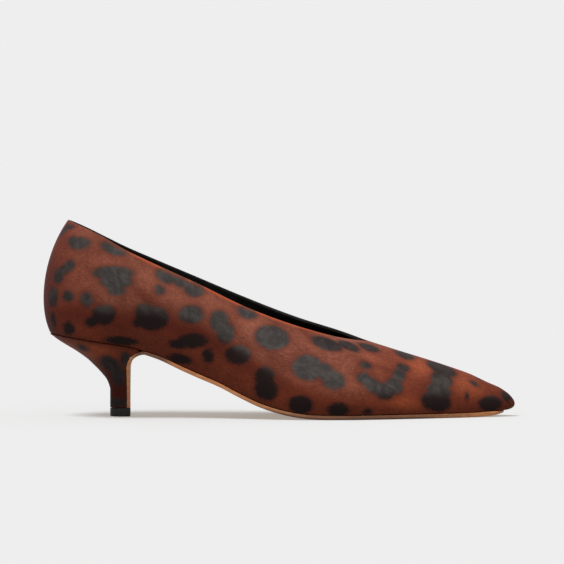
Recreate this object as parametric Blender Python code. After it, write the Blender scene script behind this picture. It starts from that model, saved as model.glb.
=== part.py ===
"""A pointed pump for the right foot, on a covered kitten heel.

The shoe is worked out in metres with X from the back of the heel to the toe, +Y towards the inner
(medial) side of the foot, +Z up and the floor at 0. An empty then carries all the pieces, so that the
middle of the shoe's footprint box lies at the origin.

The upper is one hollow shell. Its surface is that of the last: a row of half profiles, each a cubic
curve from the edge at the sole, over the side, to the collar or to the ridge of the vamp. The sole,
the heel and the insole take their outlines from the same profiles.
"""

import math
from typing import NamedTuple

import bmesh
import bpy
from mathutils import Vector

# Driving sizes of the whole shoe
SHOE_LENGTH = 0.2500
BALL_WIDTH = 0.0765
HEEL_HEIGHT = 0.0440
BACK_HEIGHT = 0.0597
VAMP_LENGTH = 0.0760
VAMP_HEIGHT = 0.0371
TOE_SPRING = 0.0010

# How far the heel's round end and the toe's round end reach along the shoe
HEEL_ROUND = 0.0300
TOE_ROUND = 0.0100

# Where the tread, the flat part of the sole under the ball, starts and ends
TREAD_START = 0.1500
TREAD_END = 0.2200

# Walls and layers; the collar's rise and the lower rim's width are shares of the wall
UPPER_WALL = 0.0020
COLLAR_RISE = 0.35
LOWER_RIM = 1.3
SOLE_THICKNESS = 0.0020
TIP_THICKNESS = 0.0006
SOLE_LEDGE = 0.0005
EDGE_BEVEL = 0.0005
WAIST_CROWN = 0.0002
INSOLE_THICKNESS = 0.0020
PIECE_GAP = 0.0003

# Heel, with the flap of the sole down its front and the top piece below both
BREAST_X = 0.0446
STEM_DEPTH = 0.0089
STEM_WIDTH = 0.0094
FLAP_THICKNESS = 0.0015
FLAP_FILLET = 0.0080
LIP_ANGLE = math.radians(72)
WAIST_TAPER = 0.0200
TIP_TAPER = 0.0100
LIFT_HEIGHT = 0.0045

# Number of faces along and around the pieces
HEEL_STEPS = 9
WALL_STEPS = 18
VAMP_STEPS = 7
TOE_STEPS = 6
PROFILE_STEPS = 12
SOLE_COLUMNS = 6
FILLET_STEPS = 6
FLAP_STEPS = 5
BREAST_STEPS = 3

# The wall's stations crowd towards the throat, by this power
WALL_CROWDING = 1.15

# Points closer than this are one, and edges bent more than this angle stay sharp
MERGE_DISTANCE = 1e-6
SHARP_ANGLE = math.radians(40)

# Colours of the leathers and of the top piece, as linear red, green and blue
HAIR_COLOUR = (0.160, 0.042, 0.020)
TAN_COLOUR = (0.480, 0.270, 0.140)
TOP_PIECE_COLOUR = (0.015, 0.014, 0.014)
SOCK_COLOUR = (0.012, 0.011, 0.011)

LATERAL = -1
MEDIAL = 1

HEEL_CENTRE_X = HEEL_ROUND
THROAT_X = SHOE_LENGTH - VAMP_LENGTH
TOE_TURN_X = SHOE_LENGTH - TOE_ROUND
RIM_Z = SOLE_THICKNESS + PIECE_GAP


class Widths(NamedTuple):
    """Half widths of one section, as shares of the ball width, from the heel-to-toe line outwards.

    The station is 0 at the centre of the heel's round end, 1 at the throat and 2 where the toe's round
    end starts. Edge is the upper's lower edge, side and shoulder steer the curve above it, and top is
    the collar or, from the throat on, the ridge. The ridge lies on the medial side of the line, so its
    share is negative in the lateral table.
    """

    station: float
    edge: float
    side: float
    shoulder: float
    top: float


LATERAL_WIDTHS = [
    Widths(0.000, 0.314, 0.405, 0.366, 0.256),
    Widths(0.111, 0.295, 0.382, 0.371, 0.287),
    Widths(0.208, 0.282, 0.366, 0.379, 0.307),
    Widths(0.347, 0.295, 0.379, 0.399, 0.326),
    Widths(0.486, 0.343, 0.438, 0.432, 0.329),
    Widths(0.625, 0.410, 0.510, 0.451, 0.309),
    Widths(0.764, 0.463, 0.565, 0.438, 0.254),
    Widths(0.903, 0.461, 0.557, 0.385, 0.149),
    Widths(1.000, 0.418, 0.507, 0.320, -0.010),
    Widths(1.242, 0.348, 0.418, 0.235, -0.019),
    Widths(1.545, 0.243, 0.295, 0.151, -0.026),
    Widths(1.818, 0.144, 0.178, 0.085, -0.031),
    Widths(2.000, 0.075, 0.097, 0.044, -0.028),
]

MEDIAL_WIDTHS = [
    Widths(0.000, 0.314, 0.405, 0.366, 0.256),
    Widths(0.111, 0.282, 0.369, 0.364, 0.285),
    Widths(0.208, 0.243, 0.326, 0.366, 0.301),
    Widths(0.347, 0.207, 0.294, 0.353, 0.314),
    Widths(0.486, 0.225, 0.326, 0.373, 0.309),
    Widths(0.625, 0.311, 0.412, 0.392, 0.282),
    Widths(0.764, 0.413, 0.510, 0.405, 0.225),
    Widths(0.903, 0.476, 0.570, 0.392, 0.136),
    Widths(1.000, 0.469, 0.555, 0.359, 0.010),
    Widths(1.242, 0.416, 0.486, 0.294, 0.019),
    Widths(1.545, 0.314, 0.364, 0.210, 0.026),
    Widths(1.818, 0.210, 0.241, 0.137, 0.031),
    Widths(2.000, 0.128, 0.147, 0.087, 0.028),
]


class Reach(NamedTuple):
    """How far each of the four profile points reaches past the start of a round end, as shares of it."""

    edge: float
    side: float
    shoulder: float
    top: float


HEEL_REACH = Reach(0.857, 1.090, 1.005, 0.557)
TOE_REACH = Reach(0.380, 1.310, 1.050, 0.620)


class Rises(NamedTuple):
    """Heights of the side and shoulder points of one section, as shares of the height of its profile."""

    station: float
    side: float
    shoulder: float


SECTION_RISES = [
    Rises(0.000, 0.280, 0.640),
    Rises(0.208, 0.260, 0.620),
    Rises(0.625, 0.260, 0.720),
    Rises(0.764, 0.250, 0.790),
    Rises(0.903, 0.230, 0.930),
    Rises(1.000, 0.220, 1.000),
    Rises(1.545, 0.240, 1.000),
    Rises(2.000, 0.260, 1.000),
]
BACK_RISES = Rises(-1.000, 0.227, 0.680)
TIP_RISES = Rises(3.000, 0.080, 0.600)


class Collar(NamedTuple):
    """Height of the collar along the shoe, as shares of its drop from the back to the throat."""

    along: float
    lateral: float
    medial: float


COLLAR = [
    Collar(0.000, 1.000, 1.000),
    Collar(0.104, 0.886, 0.875),
    Collar(0.187, 0.767, 0.770),
    Collar(0.270, 0.666, 0.679),
    Collar(0.434, 0.480, 0.504),
    Collar(0.599, 0.285, 0.335),
    Collar(0.764, 0.135, 0.185),
    Collar(0.896, 0.045, 0.087),
    Collar(1.000, 0.000, 0.000),
]


class Height(NamedTuple):
    """A height at one place along the stretch that a table covers, both as shares."""

    along: float
    height: float


# From the throat to the tip: height of the vamp's ridge above the edge
RIDGE = [
    Height(0.000, 1.000),
    Height(0.196, 0.873),
    Height(0.474, 0.694),
    Height(0.684, 0.541),
    Height(0.822, 0.396),
    Height(0.895, 0.327),
    Height(0.950, 0.248),
]

# From the back to the start of the tread: how the sole's line climbs from the tread to the heel
HEEL_RISE = [
    Height(0.029, 1.000),
    Height(0.163, 0.921),
    Height(0.253, 0.875),
    Height(0.318, 0.832),
    Height(0.373, 0.782),
    Height(0.413, 0.735),
    Height(0.483, 0.621),
    Height(0.553, 0.508),
    Height(0.625, 0.398),
    Height(0.695, 0.268),
    Height(0.767, 0.149),
    Height(0.822, 0.084),
    Height(0.867, 0.046),
    Height(0.913, 0.020),
    Height(0.960, 0.005),
    Height(1.000, 0.000),
]

# From the end of the tread to the tip: how the toe lifts off the floor
SPRING = [
    Height(0.000, 0.000),
    Height(0.317, 0.200),
    Height(0.567, 0.600),
    Height(0.767, 0.760),
    Height(1.000, 1.000),
]


class HeelLevel(NamedTuple):
    """One level of the heel: its height between top piece and seat, and how far it has spread there.

    Depth and width are 0 where the heel is as slender as its stem and 1 where it fills the seat.
    """

    height: float
    depth: float
    width: float


HEEL_LEVELS = [
    HeelLevel(0.000, 0.000, 0.000),
    HeelLevel(0.100, 0.000, 0.000),
    HeelLevel(0.240, 0.000, 0.022),
    HeelLevel(0.310, 0.020, 0.052),
    HeelLevel(0.380, 0.057, 0.095),
    HeelLevel(0.445, 0.118, 0.148),
    HeelLevel(0.510, 0.189, 0.212),
    HeelLevel(0.580, 0.274, 0.288),
    HeelLevel(0.650, 0.364, 0.378),
    HeelLevel(0.720, 0.478, 0.478),
    HeelLevel(0.785, 0.598, 0.590),
    HeelLevel(0.850, 0.733, 0.710),
    HeelLevel(0.918, 0.865, 0.840),
    HeelLevel(0.965, 0.940, 0.930),
    HeelLevel(1.000, 1.000, 1.000),
]


class SmoothCurve:
    """A curve through a table's points that never overshoots them."""

    def __init__(self, points, level_start=False):
        self.xs = [x for x, _ in points]
        self.ys = [y for _, y in points]
        steps = [
            (y1 - y0) / (x1 - x0)
            for (x0, y0), (x1, y1) in zip(points, points[1:])
        ]
        inner = [
            2 * before * after / (before + after) if before * after > 0 else 0.0
            for before, after in zip(steps, steps[1:])
        ]
        start = 0.0 if level_start else steps[0]
        self.slopes = [start] + inner + [steps[-1]]

    def __call__(self, x):
        x = min(max(x, self.xs[0]), self.xs[-1])
        i = 0
        while i < len(self.xs) - 2 and x > self.xs[i + 1]:
            i += 1
        span = self.xs[i + 1] - self.xs[i]
        t = (x - self.xs[i]) / span
        return (
            (1 + 2 * t) * (1 - t) ** 2 * self.ys[i]
            + t * (1 - t) ** 2 * span * self.slopes[i]
            + t ** 2 * (3 - 2 * t) * self.ys[i + 1]
            + t ** 2 * (t - 1) * span * self.slopes[i + 1]
        )


def mix(start, end, share):
    """The value that lies the given share of the way from start to end."""
    return start + (end - start) * share


def station_x(station):
    """Place along the shoe of a section table's station."""
    if station <= 1:
        return mix(HEEL_CENTRE_X, THROAT_X, station)
    return mix(THROAT_X, TOE_TURN_X, station - 1)


def section_curve(rows, column, scale):
    """One column of a section table as a curve along the shoe."""
    return SmoothCurve(
        [(station_x(row.station), getattr(row, column) * scale) for row in rows],
        level_start=True,
    )


def stretch_curve(rows, column, start, end, scale):
    """One column of a table that covers the shoe from start to end, as a curve along the shoe."""
    return SmoothCurve([(mix(start, end, row.along), getattr(row, column) * scale) for row in rows])


WIDTH_CURVES = {
    side: {column: section_curve(rows, column, BALL_WIDTH) for column in Reach._fields}
    for side, rows in ((LATERAL, LATERAL_WIDTHS), (MEDIAL, MEDIAL_WIDTHS))
}
RISE_CURVES = {column: section_curve(SECTION_RISES, column, 1.0) for column in ("side", "shoulder")}

COLLAR_BACK_X = HEEL_CENTRE_X - HEEL_ROUND * HEEL_REACH.top
COLLAR_DROP = HEEL_HEIGHT + BACK_HEIGHT - RIM_Z - VAMP_HEIGHT
COLLAR_CURVES = {
    LATERAL: stretch_curve(COLLAR, "lateral", COLLAR_BACK_X, THROAT_X, COLLAR_DROP),
    MEDIAL: stretch_curve(COLLAR, "medial", COLLAR_BACK_X, THROAT_X, COLLAR_DROP),
}
RIDGE_CURVE = stretch_curve(RIDGE, "height", THROAT_X, SHOE_LENGTH, VAMP_HEIGHT)
HEEL_RISE_CURVE = stretch_curve(HEEL_RISE, "height", 0.0, TREAD_START, HEEL_HEIGHT - RIM_Z)
SPRING_CURVE = stretch_curve(SPRING, "height", TREAD_END, SHOE_LENGTH, TOE_SPRING)

DEPTH_CURVE = SmoothCurve([(level.height, level.depth) for level in HEEL_LEVELS])
SPREAD_CURVE = SmoothCurve([(level.height, level.width) for level in HEEL_LEVELS])


def tread_height(x):
    """Height of the underside of the sole, at its middle."""
    return HEEL_RISE_CURVE(x) + SPRING_CURVE(x)


def edge_height(x):
    """Height of the upper's lower edge, which the sole and the heel follow with a gap."""
    return tread_height(x) + RIM_Z


def sole_height(x):
    """Height of the sole's ground side: the sole thins towards the heel's flap and towards the tip."""
    waist = min(max((x - FILLET_X) / WAIST_TAPER, 0.0), 1.0)
    tip = min(max(1 - (SOLE_TIP_X - x) / TIP_TAPER, 0.0), 1.0)
    thickness = mix(FLAP_THICKNESS, SOLE_THICKNESS, waist)
    thickness -= (SOLE_THICKNESS - TIP_THICKNESS) * tip ** 2
    return edge_height(x) - PIECE_GAP - thickness


# The sole's tip, just outside the upper's lower edge
SOLE_TIP_X = TOE_TURN_X + TOE_ROUND * TOE_REACH.edge + SOLE_LEDGE

# The sole turns down into the flap about this point, with the heel's lip outside it
FLAP_X = BREAST_X + PIECE_GAP + FLAP_THICKNESS
FILLET_X = FLAP_X + FLAP_FILLET
FILLET_Z = sole_height(FILLET_X) - FLAP_FILLET
LIP_RADIUS = FLAP_FILLET + FLAP_THICKNESS + PIECE_GAP
LIP_X = FILLET_X - LIP_RADIUS * math.cos(LIP_ANGLE)
LIP_Z = edge_height(LIP_X) - PIECE_GAP
HEEL_BASE_Z = LIFT_HEIGHT + PIECE_GAP


def top_height(x, side):
    """Height of the collar behind the throat, and of the vamp's ridge from the throat on."""
    if x <= THROAT_X:
        return RIM_Z + VAMP_HEIGHT + COLLAR_CURVES[side](x)
    return edge_height(x) + RIDGE_CURVE(x)


class Station(NamedTuple):
    """Where a half profile stands: in the heel's round end, in the body or in the toe's round end.

    The value is the angle from the side to the back in the heel, the place along the shoe in the body,
    and in the toe a number that goes from 1 at the body to 0 at the tip.
    """

    zone: str
    value: float


def plan_point(station, side, column, ledge=0.0):
    """Where a column's line crosses a station, seen from above, moved outwards by the ledge."""
    widths = WIDTH_CURVES[side]
    if station.zone == "heel":
        reach = HEEL_ROUND * getattr(HEEL_REACH, column) + ledge
        half_width = widths[column](HEEL_CENTRE_X) + ledge
        x = HEEL_CENTRE_X - reach * math.sin(station.value)
        return x, side * half_width * math.cos(station.value)
    if station.zone == "toe":
        tip_y = side * widths["top"](TOE_TURN_X)
        reach = TOE_ROUND * getattr(TOE_REACH, column) + ledge
        half_width = widths[column](TOE_TURN_X) + ledge - side * tip_y
        x = TOE_TURN_X + reach * (1 - station.value ** 2)
        return x, tip_y + side * half_width * station.value
    return station.value, side * (widths[column](station.value) + ledge)


def section_rise(station, column):
    """Height of the side or shoulder point, as a share of the height of its profile."""
    curve = RISE_CURVES[column]
    if station.zone == "heel":
        back = getattr(BACK_RISES, column)
        return mix(curve(HEEL_CENTRE_X), back, math.sin(station.value) ** 2)
    if station.zone == "toe":
        return mix(getattr(TIP_RISES, column), curve(TOE_TURN_X), station.value ** 2)
    return curve(station.value)


def half_profile(station, side):
    """Points of the last's surface from the lower edge up to the collar or ridge, at one station."""
    edge_x, edge_y = plan_point(station, side, "edge")
    top_x, top_y = plan_point(station, side, "top")
    low = edge_height(edge_x)
    high = top_height(top_x, side)
    controls = [Vector((edge_x, edge_y, low))]
    for column in ("side", "shoulder"):
        x, y = plan_point(station, side, column)
        controls.append(Vector((x, y, mix(low, high, section_rise(station, column)))))
    controls.append(Vector((top_x, top_y, high)))
    return [bezier_point(controls, j / PROFILE_STEPS) for j in range(PROFILE_STEPS + 1)]


def bezier_point(controls, t):
    """The point at t on the cubic curve that four points steer."""
    first, second, third, last = controls
    return (
        first * (1 - t) ** 3
        + second * 3 * t * (1 - t) ** 2
        + third * 3 * t ** 2 * (1 - t)
        + last * t ** 3
    )


def toe_stations():
    """Stations of the toe's round end, from the tip to just before the body."""
    return [Station("toe", i / TOE_STEPS) for i in range(TOE_STEPS)]


def heel_stations():
    """Stations of the heel's round end, from just behind the body to the middle of the back."""
    return [Station("heel", math.pi / 2 * i / HEEL_STEPS) for i in range(1, HEEL_STEPS + 1)]


def vamp_stations():
    """Stations of the body from the toe's turn back to the throat."""
    return [Station("body", mix(TOE_TURN_X, THROAT_X, i / VAMP_STEPS)) for i in range(VAMP_STEPS + 1)]


def wall_stations():
    """Stations of the body behind the throat, closer together near it, where the collar turns."""
    return [
        Station("body", mix(THROAT_X, HEEL_CENTRE_X, (i / WALL_STEPS) ** WALL_CROWDING))
        for i in range(1, WALL_STEPS + 1)
    ]


STATIONS = toe_stations() + vamp_stations() + wall_stations() + heel_stations()
THROAT_INDEX = TOE_STEPS + VAMP_STEPS
BACK_INDEX = len(STATIONS) - 1


def closed_ring():
    """Stations with their sides, from the tip along the lateral side to the back and home again."""
    lateral = [(station, LATERAL) for station in STATIONS]
    medial = [(station, MEDIAL) for station in reversed(STATIONS[1:-1])]
    return lateral + medial


def inset_ring(points, distance):
    """A ring that runs clockwise, seen from above, moved horizontally inwards."""
    inset = []
    for before, point, after in zip(points[-1:] + points[:-1], points, points[1:] + points[:1]):
        along = after - before
        inwards = Vector((along.y, -along.x, 0.0)).normalized()
        inset.append(point + inwards * distance)
    return inset


def make_object(name, bm, material, parent):
    """Turn a finished bmesh into a smooth-shaded object under the shoe's empty."""
    bmesh.ops.remove_doubles(bm, verts=bm.verts, dist=MERGE_DISTANCE)
    bmesh.ops.recalc_face_normals(bm, faces=bm.faces)
    mesh = bpy.data.meshes.new(name)
    bm.to_mesh(mesh)
    bm.free()
    mesh.shade_smooth()
    mesh.set_sharp_from_angle(angle=SHARP_ANGLE)
    mesh.materials.append(material)
    item = bpy.data.objects.new(name, mesh)
    bpy.context.scene.collection.objects.link(item)
    item.parent = parent
    return item


def make_material(name, colour, roughness):
    """A plain material of one colour."""
    material = bpy.data.materials.new(name)
    material.use_nodes = True
    shader = material.node_tree.nodes["Principled BSDF"]
    shader.inputs["Base Color"].default_value = (*colour, 1.0)
    shader.inputs["Roughness"].default_value = roughness
    shader.inputs["Metallic"].default_value = 0.0
    return material


def add_points(bm, points):
    """One vertex for each point."""
    return [bm.verts.new(point) for point in points]


def join_rows(bm, first, second, closed=False):
    """Quads between two rows of vertices, leaving out vertices that both rows share."""
    count = len(first) if closed else len(first) - 1
    for i in range(count):
        k = (i + 1) % len(first)
        corners = list(dict.fromkeys((first[i], second[i], second[k], first[k])))
        if len(corners) > 2:
            bm.faces.new(corners)


def join_ladder(bm, chain):
    """Close the surface inside a chain of vertices with rungs between its two sides."""
    half = len(chain) // 2 + 1
    join_rows(bm, chain[:half], chain[::-1][:half])


class UpperShell:
    """The upper's outer and inner surfaces, as one column of points for each place in the ring."""

    def __init__(self):
        self.ring = closed_ring()
        self.outer = [half_profile(station, side) for station, side in self.ring]
        self.share_ridge(self.outer)
        self.inner = self.offset_inwards()
        self.share_ridge(self.inner)

    def partner(self, column):
        """The column at the same station on the other side."""
        return (2 * BACK_INDEX - column) % (2 * BACK_INDEX)

    def share_ridge(self, columns):
        """Give both halves of the vamp the same point at the ridge."""
        for column in range(THROAT_INDEX + 1):
            columns[self.partner(column)][-1] = columns[column][-1]

    def neighbours(self, column, row):
        """The points before, after, below and above one point of the outer surface."""
        count = len(self.outer)
        before = self.outer[(column - 1) % count][row]
        after = self.outer[(column + 1) % count][row]
        points = self.outer[column]
        below = points[max(row - 1, 0)]
        if row < PROFILE_STEPS:
            return before, after, below, points[row + 1]
        if min(column, self.partner(column)) <= THROAT_INDEX:
            return before, after, below, self.outer[self.partner(column)][row - 1]
        return before, after, below, points[row]

    def normal(self, column, row):
        """The outward direction at one point of the outer surface."""
        if row == PROFILE_STEPS and min(column, self.partner(column)) <= THROAT_INDEX:
            return self.ridge_normal(min(column, self.partner(column)))
        before, after, below, above = self.neighbours(column, row)
        return (above - below).cross(after - before).normalized()

    def ridge_normal(self, column):
        """The outward direction on the ridge, across it and along it."""
        across = self.outer[self.partner(column)][-2] - self.outer[column][-2]
        if column == 0:
            down = self.outer[0][-2] - self.outer[0][-1]
            back = self.outer[1][-1] - self.outer[0][-1]
            along = down - back
            across = Vector((0.0, 1.0, 0.0))
        else:
            along = self.outer[column - 1][-1] - self.outer[min(column + 1, THROAT_INDEX)][-1]
        return along.cross(across).normalized()

    def offset_inwards(self):
        """The lining's surface, one wall inside the outer one, level with it at the lower edge."""
        lower = inset_ring([points[0] for points in self.outer], UPPER_WALL * LOWER_RIM)
        inner = []
        for column, points in enumerate(self.outer):
            offset = [
                point - self.normal(column, row) * UPPER_WALL
                for row, point in enumerate(points)
            ]
            inner.append([lower[column]] + offset[1:])
        return inner

    def rim(self):
        """Points of the collar's rounded rim, from the throat round the back to the throat."""
        points = []
        for column in range(THROAT_INDEX, self.partner(THROAT_INDEX) + 1):
            outer, inner = self.outer[column], self.inner[column]
            middle = (outer[-1] + inner[-1]) / 2
            if column not in (THROAT_INDEX, self.partner(THROAT_INDEX)):
                middle = middle + (outer[-1] - outer[-2]).normalized() * UPPER_WALL * COLLAR_RISE
            points.append(middle)
        return points


def build_upper(shell, material, parent):
    """The upper: outer surface, lining surface, rounded collar and the flat rim on the sole."""
    bm = bmesh.new()
    outer = [add_points(bm, points) for points in shell.outer]
    inner = [add_points(bm, points) for points in shell.inner]
    count = len(outer)
    for surface in (outer, inner):
        for column in range(count):
            join_rows(bm, surface[column], surface[(column + 1) % count])
    lower_outer = [column[0] for column in outer]
    lower_inner = [column[0] for column in inner]
    join_rows(bm, lower_outer, lower_inner, closed=True)
    collar = range(THROAT_INDEX, shell.partner(THROAT_INDEX) + 1)
    rim = add_points(bm, shell.rim())
    join_rows(bm, [outer[column][-1] for column in collar], rim)
    join_rows(bm, rim, [inner[column][-1] for column in collar])
    return make_object("upper", bm, material, parent)


def point_at_height(points, height):
    """Where a rising row of points passes a height."""
    for low, high in zip(points, points[1:]):
        if high.z >= height:
            return low.lerp(high, (height - low.z) / (high.z - low.z))
    return points[-1]


def build_insole(shell, material, parent):
    """The sock: it lies on the sole and the heel, with its edge just inside the upper's lining."""
    lower = [points[0] for points in shell.inner]
    upper = [point_at_height(points, points[0].z + INSOLE_THICKNESS) for points in shell.inner]
    bm = bmesh.new()
    rows = []
    for ring in (lower, upper):
        vertices = add_points(bm, inset_ring(ring, PIECE_GAP))
        rows.append(vertices)
        join_ladder(bm, vertices + vertices[:1])
    join_rows(bm, rows[0], rows[1], closed=True)
    return make_object("insole", bm, material, parent)


def heel_width(height):
    """How wide the heel is at a height share, next to the seat."""
    seat_width = 2 * (WIDTH_CURVES[LATERAL]["edge"](HEEL_CENTRE_X) + SOLE_LEDGE)
    return mix(STEM_WIDTH, seat_width, SPREAD_CURVE(height)) / seat_width


def breast_x(z):
    """How far forward the heel's front reaches at a height: up the stem, then out to its lip."""
    climb = z - FILLET_Z
    if climb <= 0:
        return BREAST_X
    if climb >= LIP_RADIUS * math.sin(LIP_ANGLE):
        return LIP_X
    return FILLET_X - math.sqrt(LIP_RADIUS ** 2 - climb ** 2)


def seat_chain():
    """Stations with their sides along the seat, from the lip round the back to the lip."""
    body = [
        Station("body", mix(LIP_X, HEEL_CENTRE_X, i / BREAST_STEPS))
        for i in range(BREAST_STEPS + 1)
    ]
    half = body + heel_stations()
    return [(s, LATERAL) for s in half] + [(s, MEDIAL) for s in reversed(half[:-1])]


def heel_outline(height):
    """The heel's outline at a height share, from the lateral corner of its front to the medial one."""
    front = breast_x(mix(HEEL_BASE_Z, LIP_Z, height))
    seat_back = plan_point(STATIONS[-1], LATERAL, "edge", SOLE_LEDGE)[0]
    back = mix(BREAST_X - STEM_DEPTH, seat_back, DEPTH_CURVE(height))
    stretch = (front - back) / (LIP_X - seat_back)
    width = heel_width(height)
    points = []
    for station, side in seat_chain():
        x, y = plan_point(station, side, "edge", SOLE_LEDGE)
        z = mix(HEEL_BASE_Z, edge_height(x) - PIECE_GAP, height)
        points.append(Vector((front - (LIP_X - x) * stretch, y * width, z)))
    return points


def build_heel(material, parent):
    """The heel block: levels from the slender stem up to the seat, with a lip under the waist."""
    lip_level = (FILLET_Z + LIP_RADIUS * math.sin(LIP_ANGLE) - HEEL_BASE_Z) / (LIP_Z - HEEL_BASE_Z)
    heights = sorted([level.height for level in HEEL_LEVELS] + [lip_level])
    bm = bmesh.new()
    levels = [add_points(bm, heel_outline(height)) for height in heights]
    for lower, upper in zip(levels, levels[1:]):
        join_rows(bm, lower, upper, closed=True)
    join_ladder(bm, levels[0])
    join_ladder(bm, levels[-1])
    return make_object("heel", bm, material, parent)


def build_heel_lift(material, parent):
    """The top piece: a block under the heel's stem and the flap, flat on the floor."""
    outline = heel_outline(0.0)
    back = min(point.x for point in outline)
    stretch = (FLAP_X - back) / (BREAST_X - back)
    rings = []
    bm = bmesh.new()
    for z in (0.0, LIFT_HEIGHT):
        points = [Vector((back + (point.x - back) * stretch, point.y, z)) for point in outline]
        ring = add_points(bm, points)
        bm.faces.new(ring)
        rings.append(ring)
    join_rows(bm, rings[0], rings[1], closed=True)
    return make_object("heel_lift", bm, material, parent)


class SoleStation(NamedTuple):
    """A place along the sole: its points on the foot side and the ground side, and its edges."""

    inner: Vector
    outer: Vector
    lateral: float
    medial: float
    crown: float


def waist_crown(x):
    """How much higher the sole's edges are than its middle, where the waist is rounded underneath."""
    share = min(max((x - FILLET_X) / (TREAD_START - FILLET_X), 0.0), 1.0)
    return WAIST_CROWN * math.sin(math.pi * share) ** 2


def sole_station(station):
    """The sole at a station of the last."""
    x, lateral = plan_point(station, LATERAL, "edge", SOLE_LEDGE)
    medial = plan_point(station, MEDIAL, "edge", SOLE_LEDGE)[1]
    inner = Vector((x, 0.0, edge_height(x) - PIECE_GAP))
    outer = Vector((x, 0.0, sole_height(x)))
    return SoleStation(inner, outer, lateral, medial, waist_crown(x))


def flap_station(inner, outer):
    """The flap between two points, as wide as the heel's front is at the inner one."""
    width = heel_width(min((inner.z - HEEL_BASE_Z) / (LIP_Z - HEEL_BASE_Z), 1.0))
    seat = Station("body", max(inner.x, LIP_X))
    lateral = plan_point(seat, LATERAL, "edge", SOLE_LEDGE)[1] * width
    medial = plan_point(seat, MEDIAL, "edge", SOLE_LEDGE)[1] * width
    return SoleStation(inner, outer, lateral, medial, 0.0)


def fillet_point(radius, angle):
    """A point on an arc about the fillet's centre, from straight above it round to the heel's side."""
    return Vector((FILLET_X - radius * math.sin(angle), 0.0, FILLET_Z + radius * math.cos(angle)))


def sole_stations():
    """All places along the sole: from the tip to the waist, round the fillet and down the flap."""
    ahead = [station for station in vamp_stations() + wall_stations() if station.value > FILLET_X]
    stations = [sole_station(station) for station in toe_stations() + ahead]
    for i in range(FILLET_STEPS + 1):
        angle = math.pi / 2 * i / FILLET_STEPS
        inner = fillet_point(FLAP_FILLET + FLAP_THICKNESS, angle)
        stations.append(flap_station(inner, fillet_point(FLAP_FILLET, angle)))
    for i in range(1, FLAP_STEPS + 1):
        z = mix(FILLET_Z, HEEL_BASE_Z, i / FLAP_STEPS)
        inner = Vector((BREAST_X + PIECE_GAP, 0.0, z))
        stations.append(flap_station(inner, Vector((FLAP_X, 0.0, z))))
    return stations


def sole_row(station, centre, bevel, crown):
    """Points across the sole at one station, in from its edges by the bevel."""
    points = []
    for i in range(SOLE_COLUMNS + 1):
        across = 2 * i / SOLE_COLUMNS - 1
        y = mix(station.lateral, station.medial, i / SOLE_COLUMNS)
        y -= across * min(bevel, (station.medial - station.lateral) / 2)
        points.append(centre + Vector((0.0, y, crown * across ** 2)))
    return points


def build_outsole(material, parent):
    """The sole and its flap: a strip of leather with a foot side, a ground side and an edge."""
    bm = bmesh.new()
    inner_rows = []
    outer_rows = []
    for station in sole_stations():
        inner_rows.append(add_points(bm, sole_row(station, station.inner, 0.0, 0.0)))
        outer_rows.append(add_points(bm, sole_row(station, station.outer, EDGE_BEVEL, station.crown)))
    for rows in (inner_rows, outer_rows):
        for first, second in zip(rows, rows[1:]):
            join_rows(bm, first, second)
    for edge in (0, -1):
        join_rows(bm, [row[edge] for row in inner_rows], [row[edge] for row in outer_rows])
    for end in (0, -1):
        join_rows(bm, inner_rows[end], outer_rows[end])
    return make_object("outsole", bm, material, parent)


def clear_scene():
    """Remove every object that the scene starts with."""
    for item in list(bpy.data.objects):
        bpy.data.objects.remove(item, do_unlink=True)


def centre_on_floor(parent, items):
    """Move the shoe so that the middle of its footprint box is at the origin."""
    corners = [vertex.co for item in items for vertex in item.data.vertices]
    for axis in (0, 1):
        values = [corner[axis] for corner in corners]
        parent.location[axis] = -(min(values) + max(values)) / 2


def main():
    """Build the shoe's five pieces under one empty."""
    clear_scene()
    shoe = bpy.data.objects.new("shoe", None)
    bpy.context.scene.collection.objects.link(shoe)
    hair = make_material("rust_haired_leather", HAIR_COLOUR, 0.55)
    tan = make_material("tan_sole_leather", TAN_COLOUR, 0.50)
    black = make_material("black_top_piece", TOP_PIECE_COLOUR, 0.40)
    sock = make_material("black_lining_leather", SOCK_COLOUR, 0.45)
    shell = UpperShell()
    items = [
        build_upper(shell, hair, shoe),
        build_outsole(tan, shoe),
        build_heel(hair, shoe),
        build_heel_lift(black, shoe),
        build_insole(shell, sock, shoe),
    ]
    centre_on_floor(shoe, items)


main()
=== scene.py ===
"""Looks of a pointed pump for the right foot, on a covered kitten heel.

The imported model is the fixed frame. Each piece is built in the shoe's own metres, with X from the back of
the heel to the toe, +Y towards the inner (medial) side of the foot, +Z up and the floor at 0, and is then
moved onto the frame. The last's surface is a row of half profiles, each a cubic curve over four rails.
"""

import logging
import math
from dataclasses import dataclass, field
from enum import Enum, IntEnum
from functools import cached_property
from typing import NamedTuple, Sequence

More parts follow.
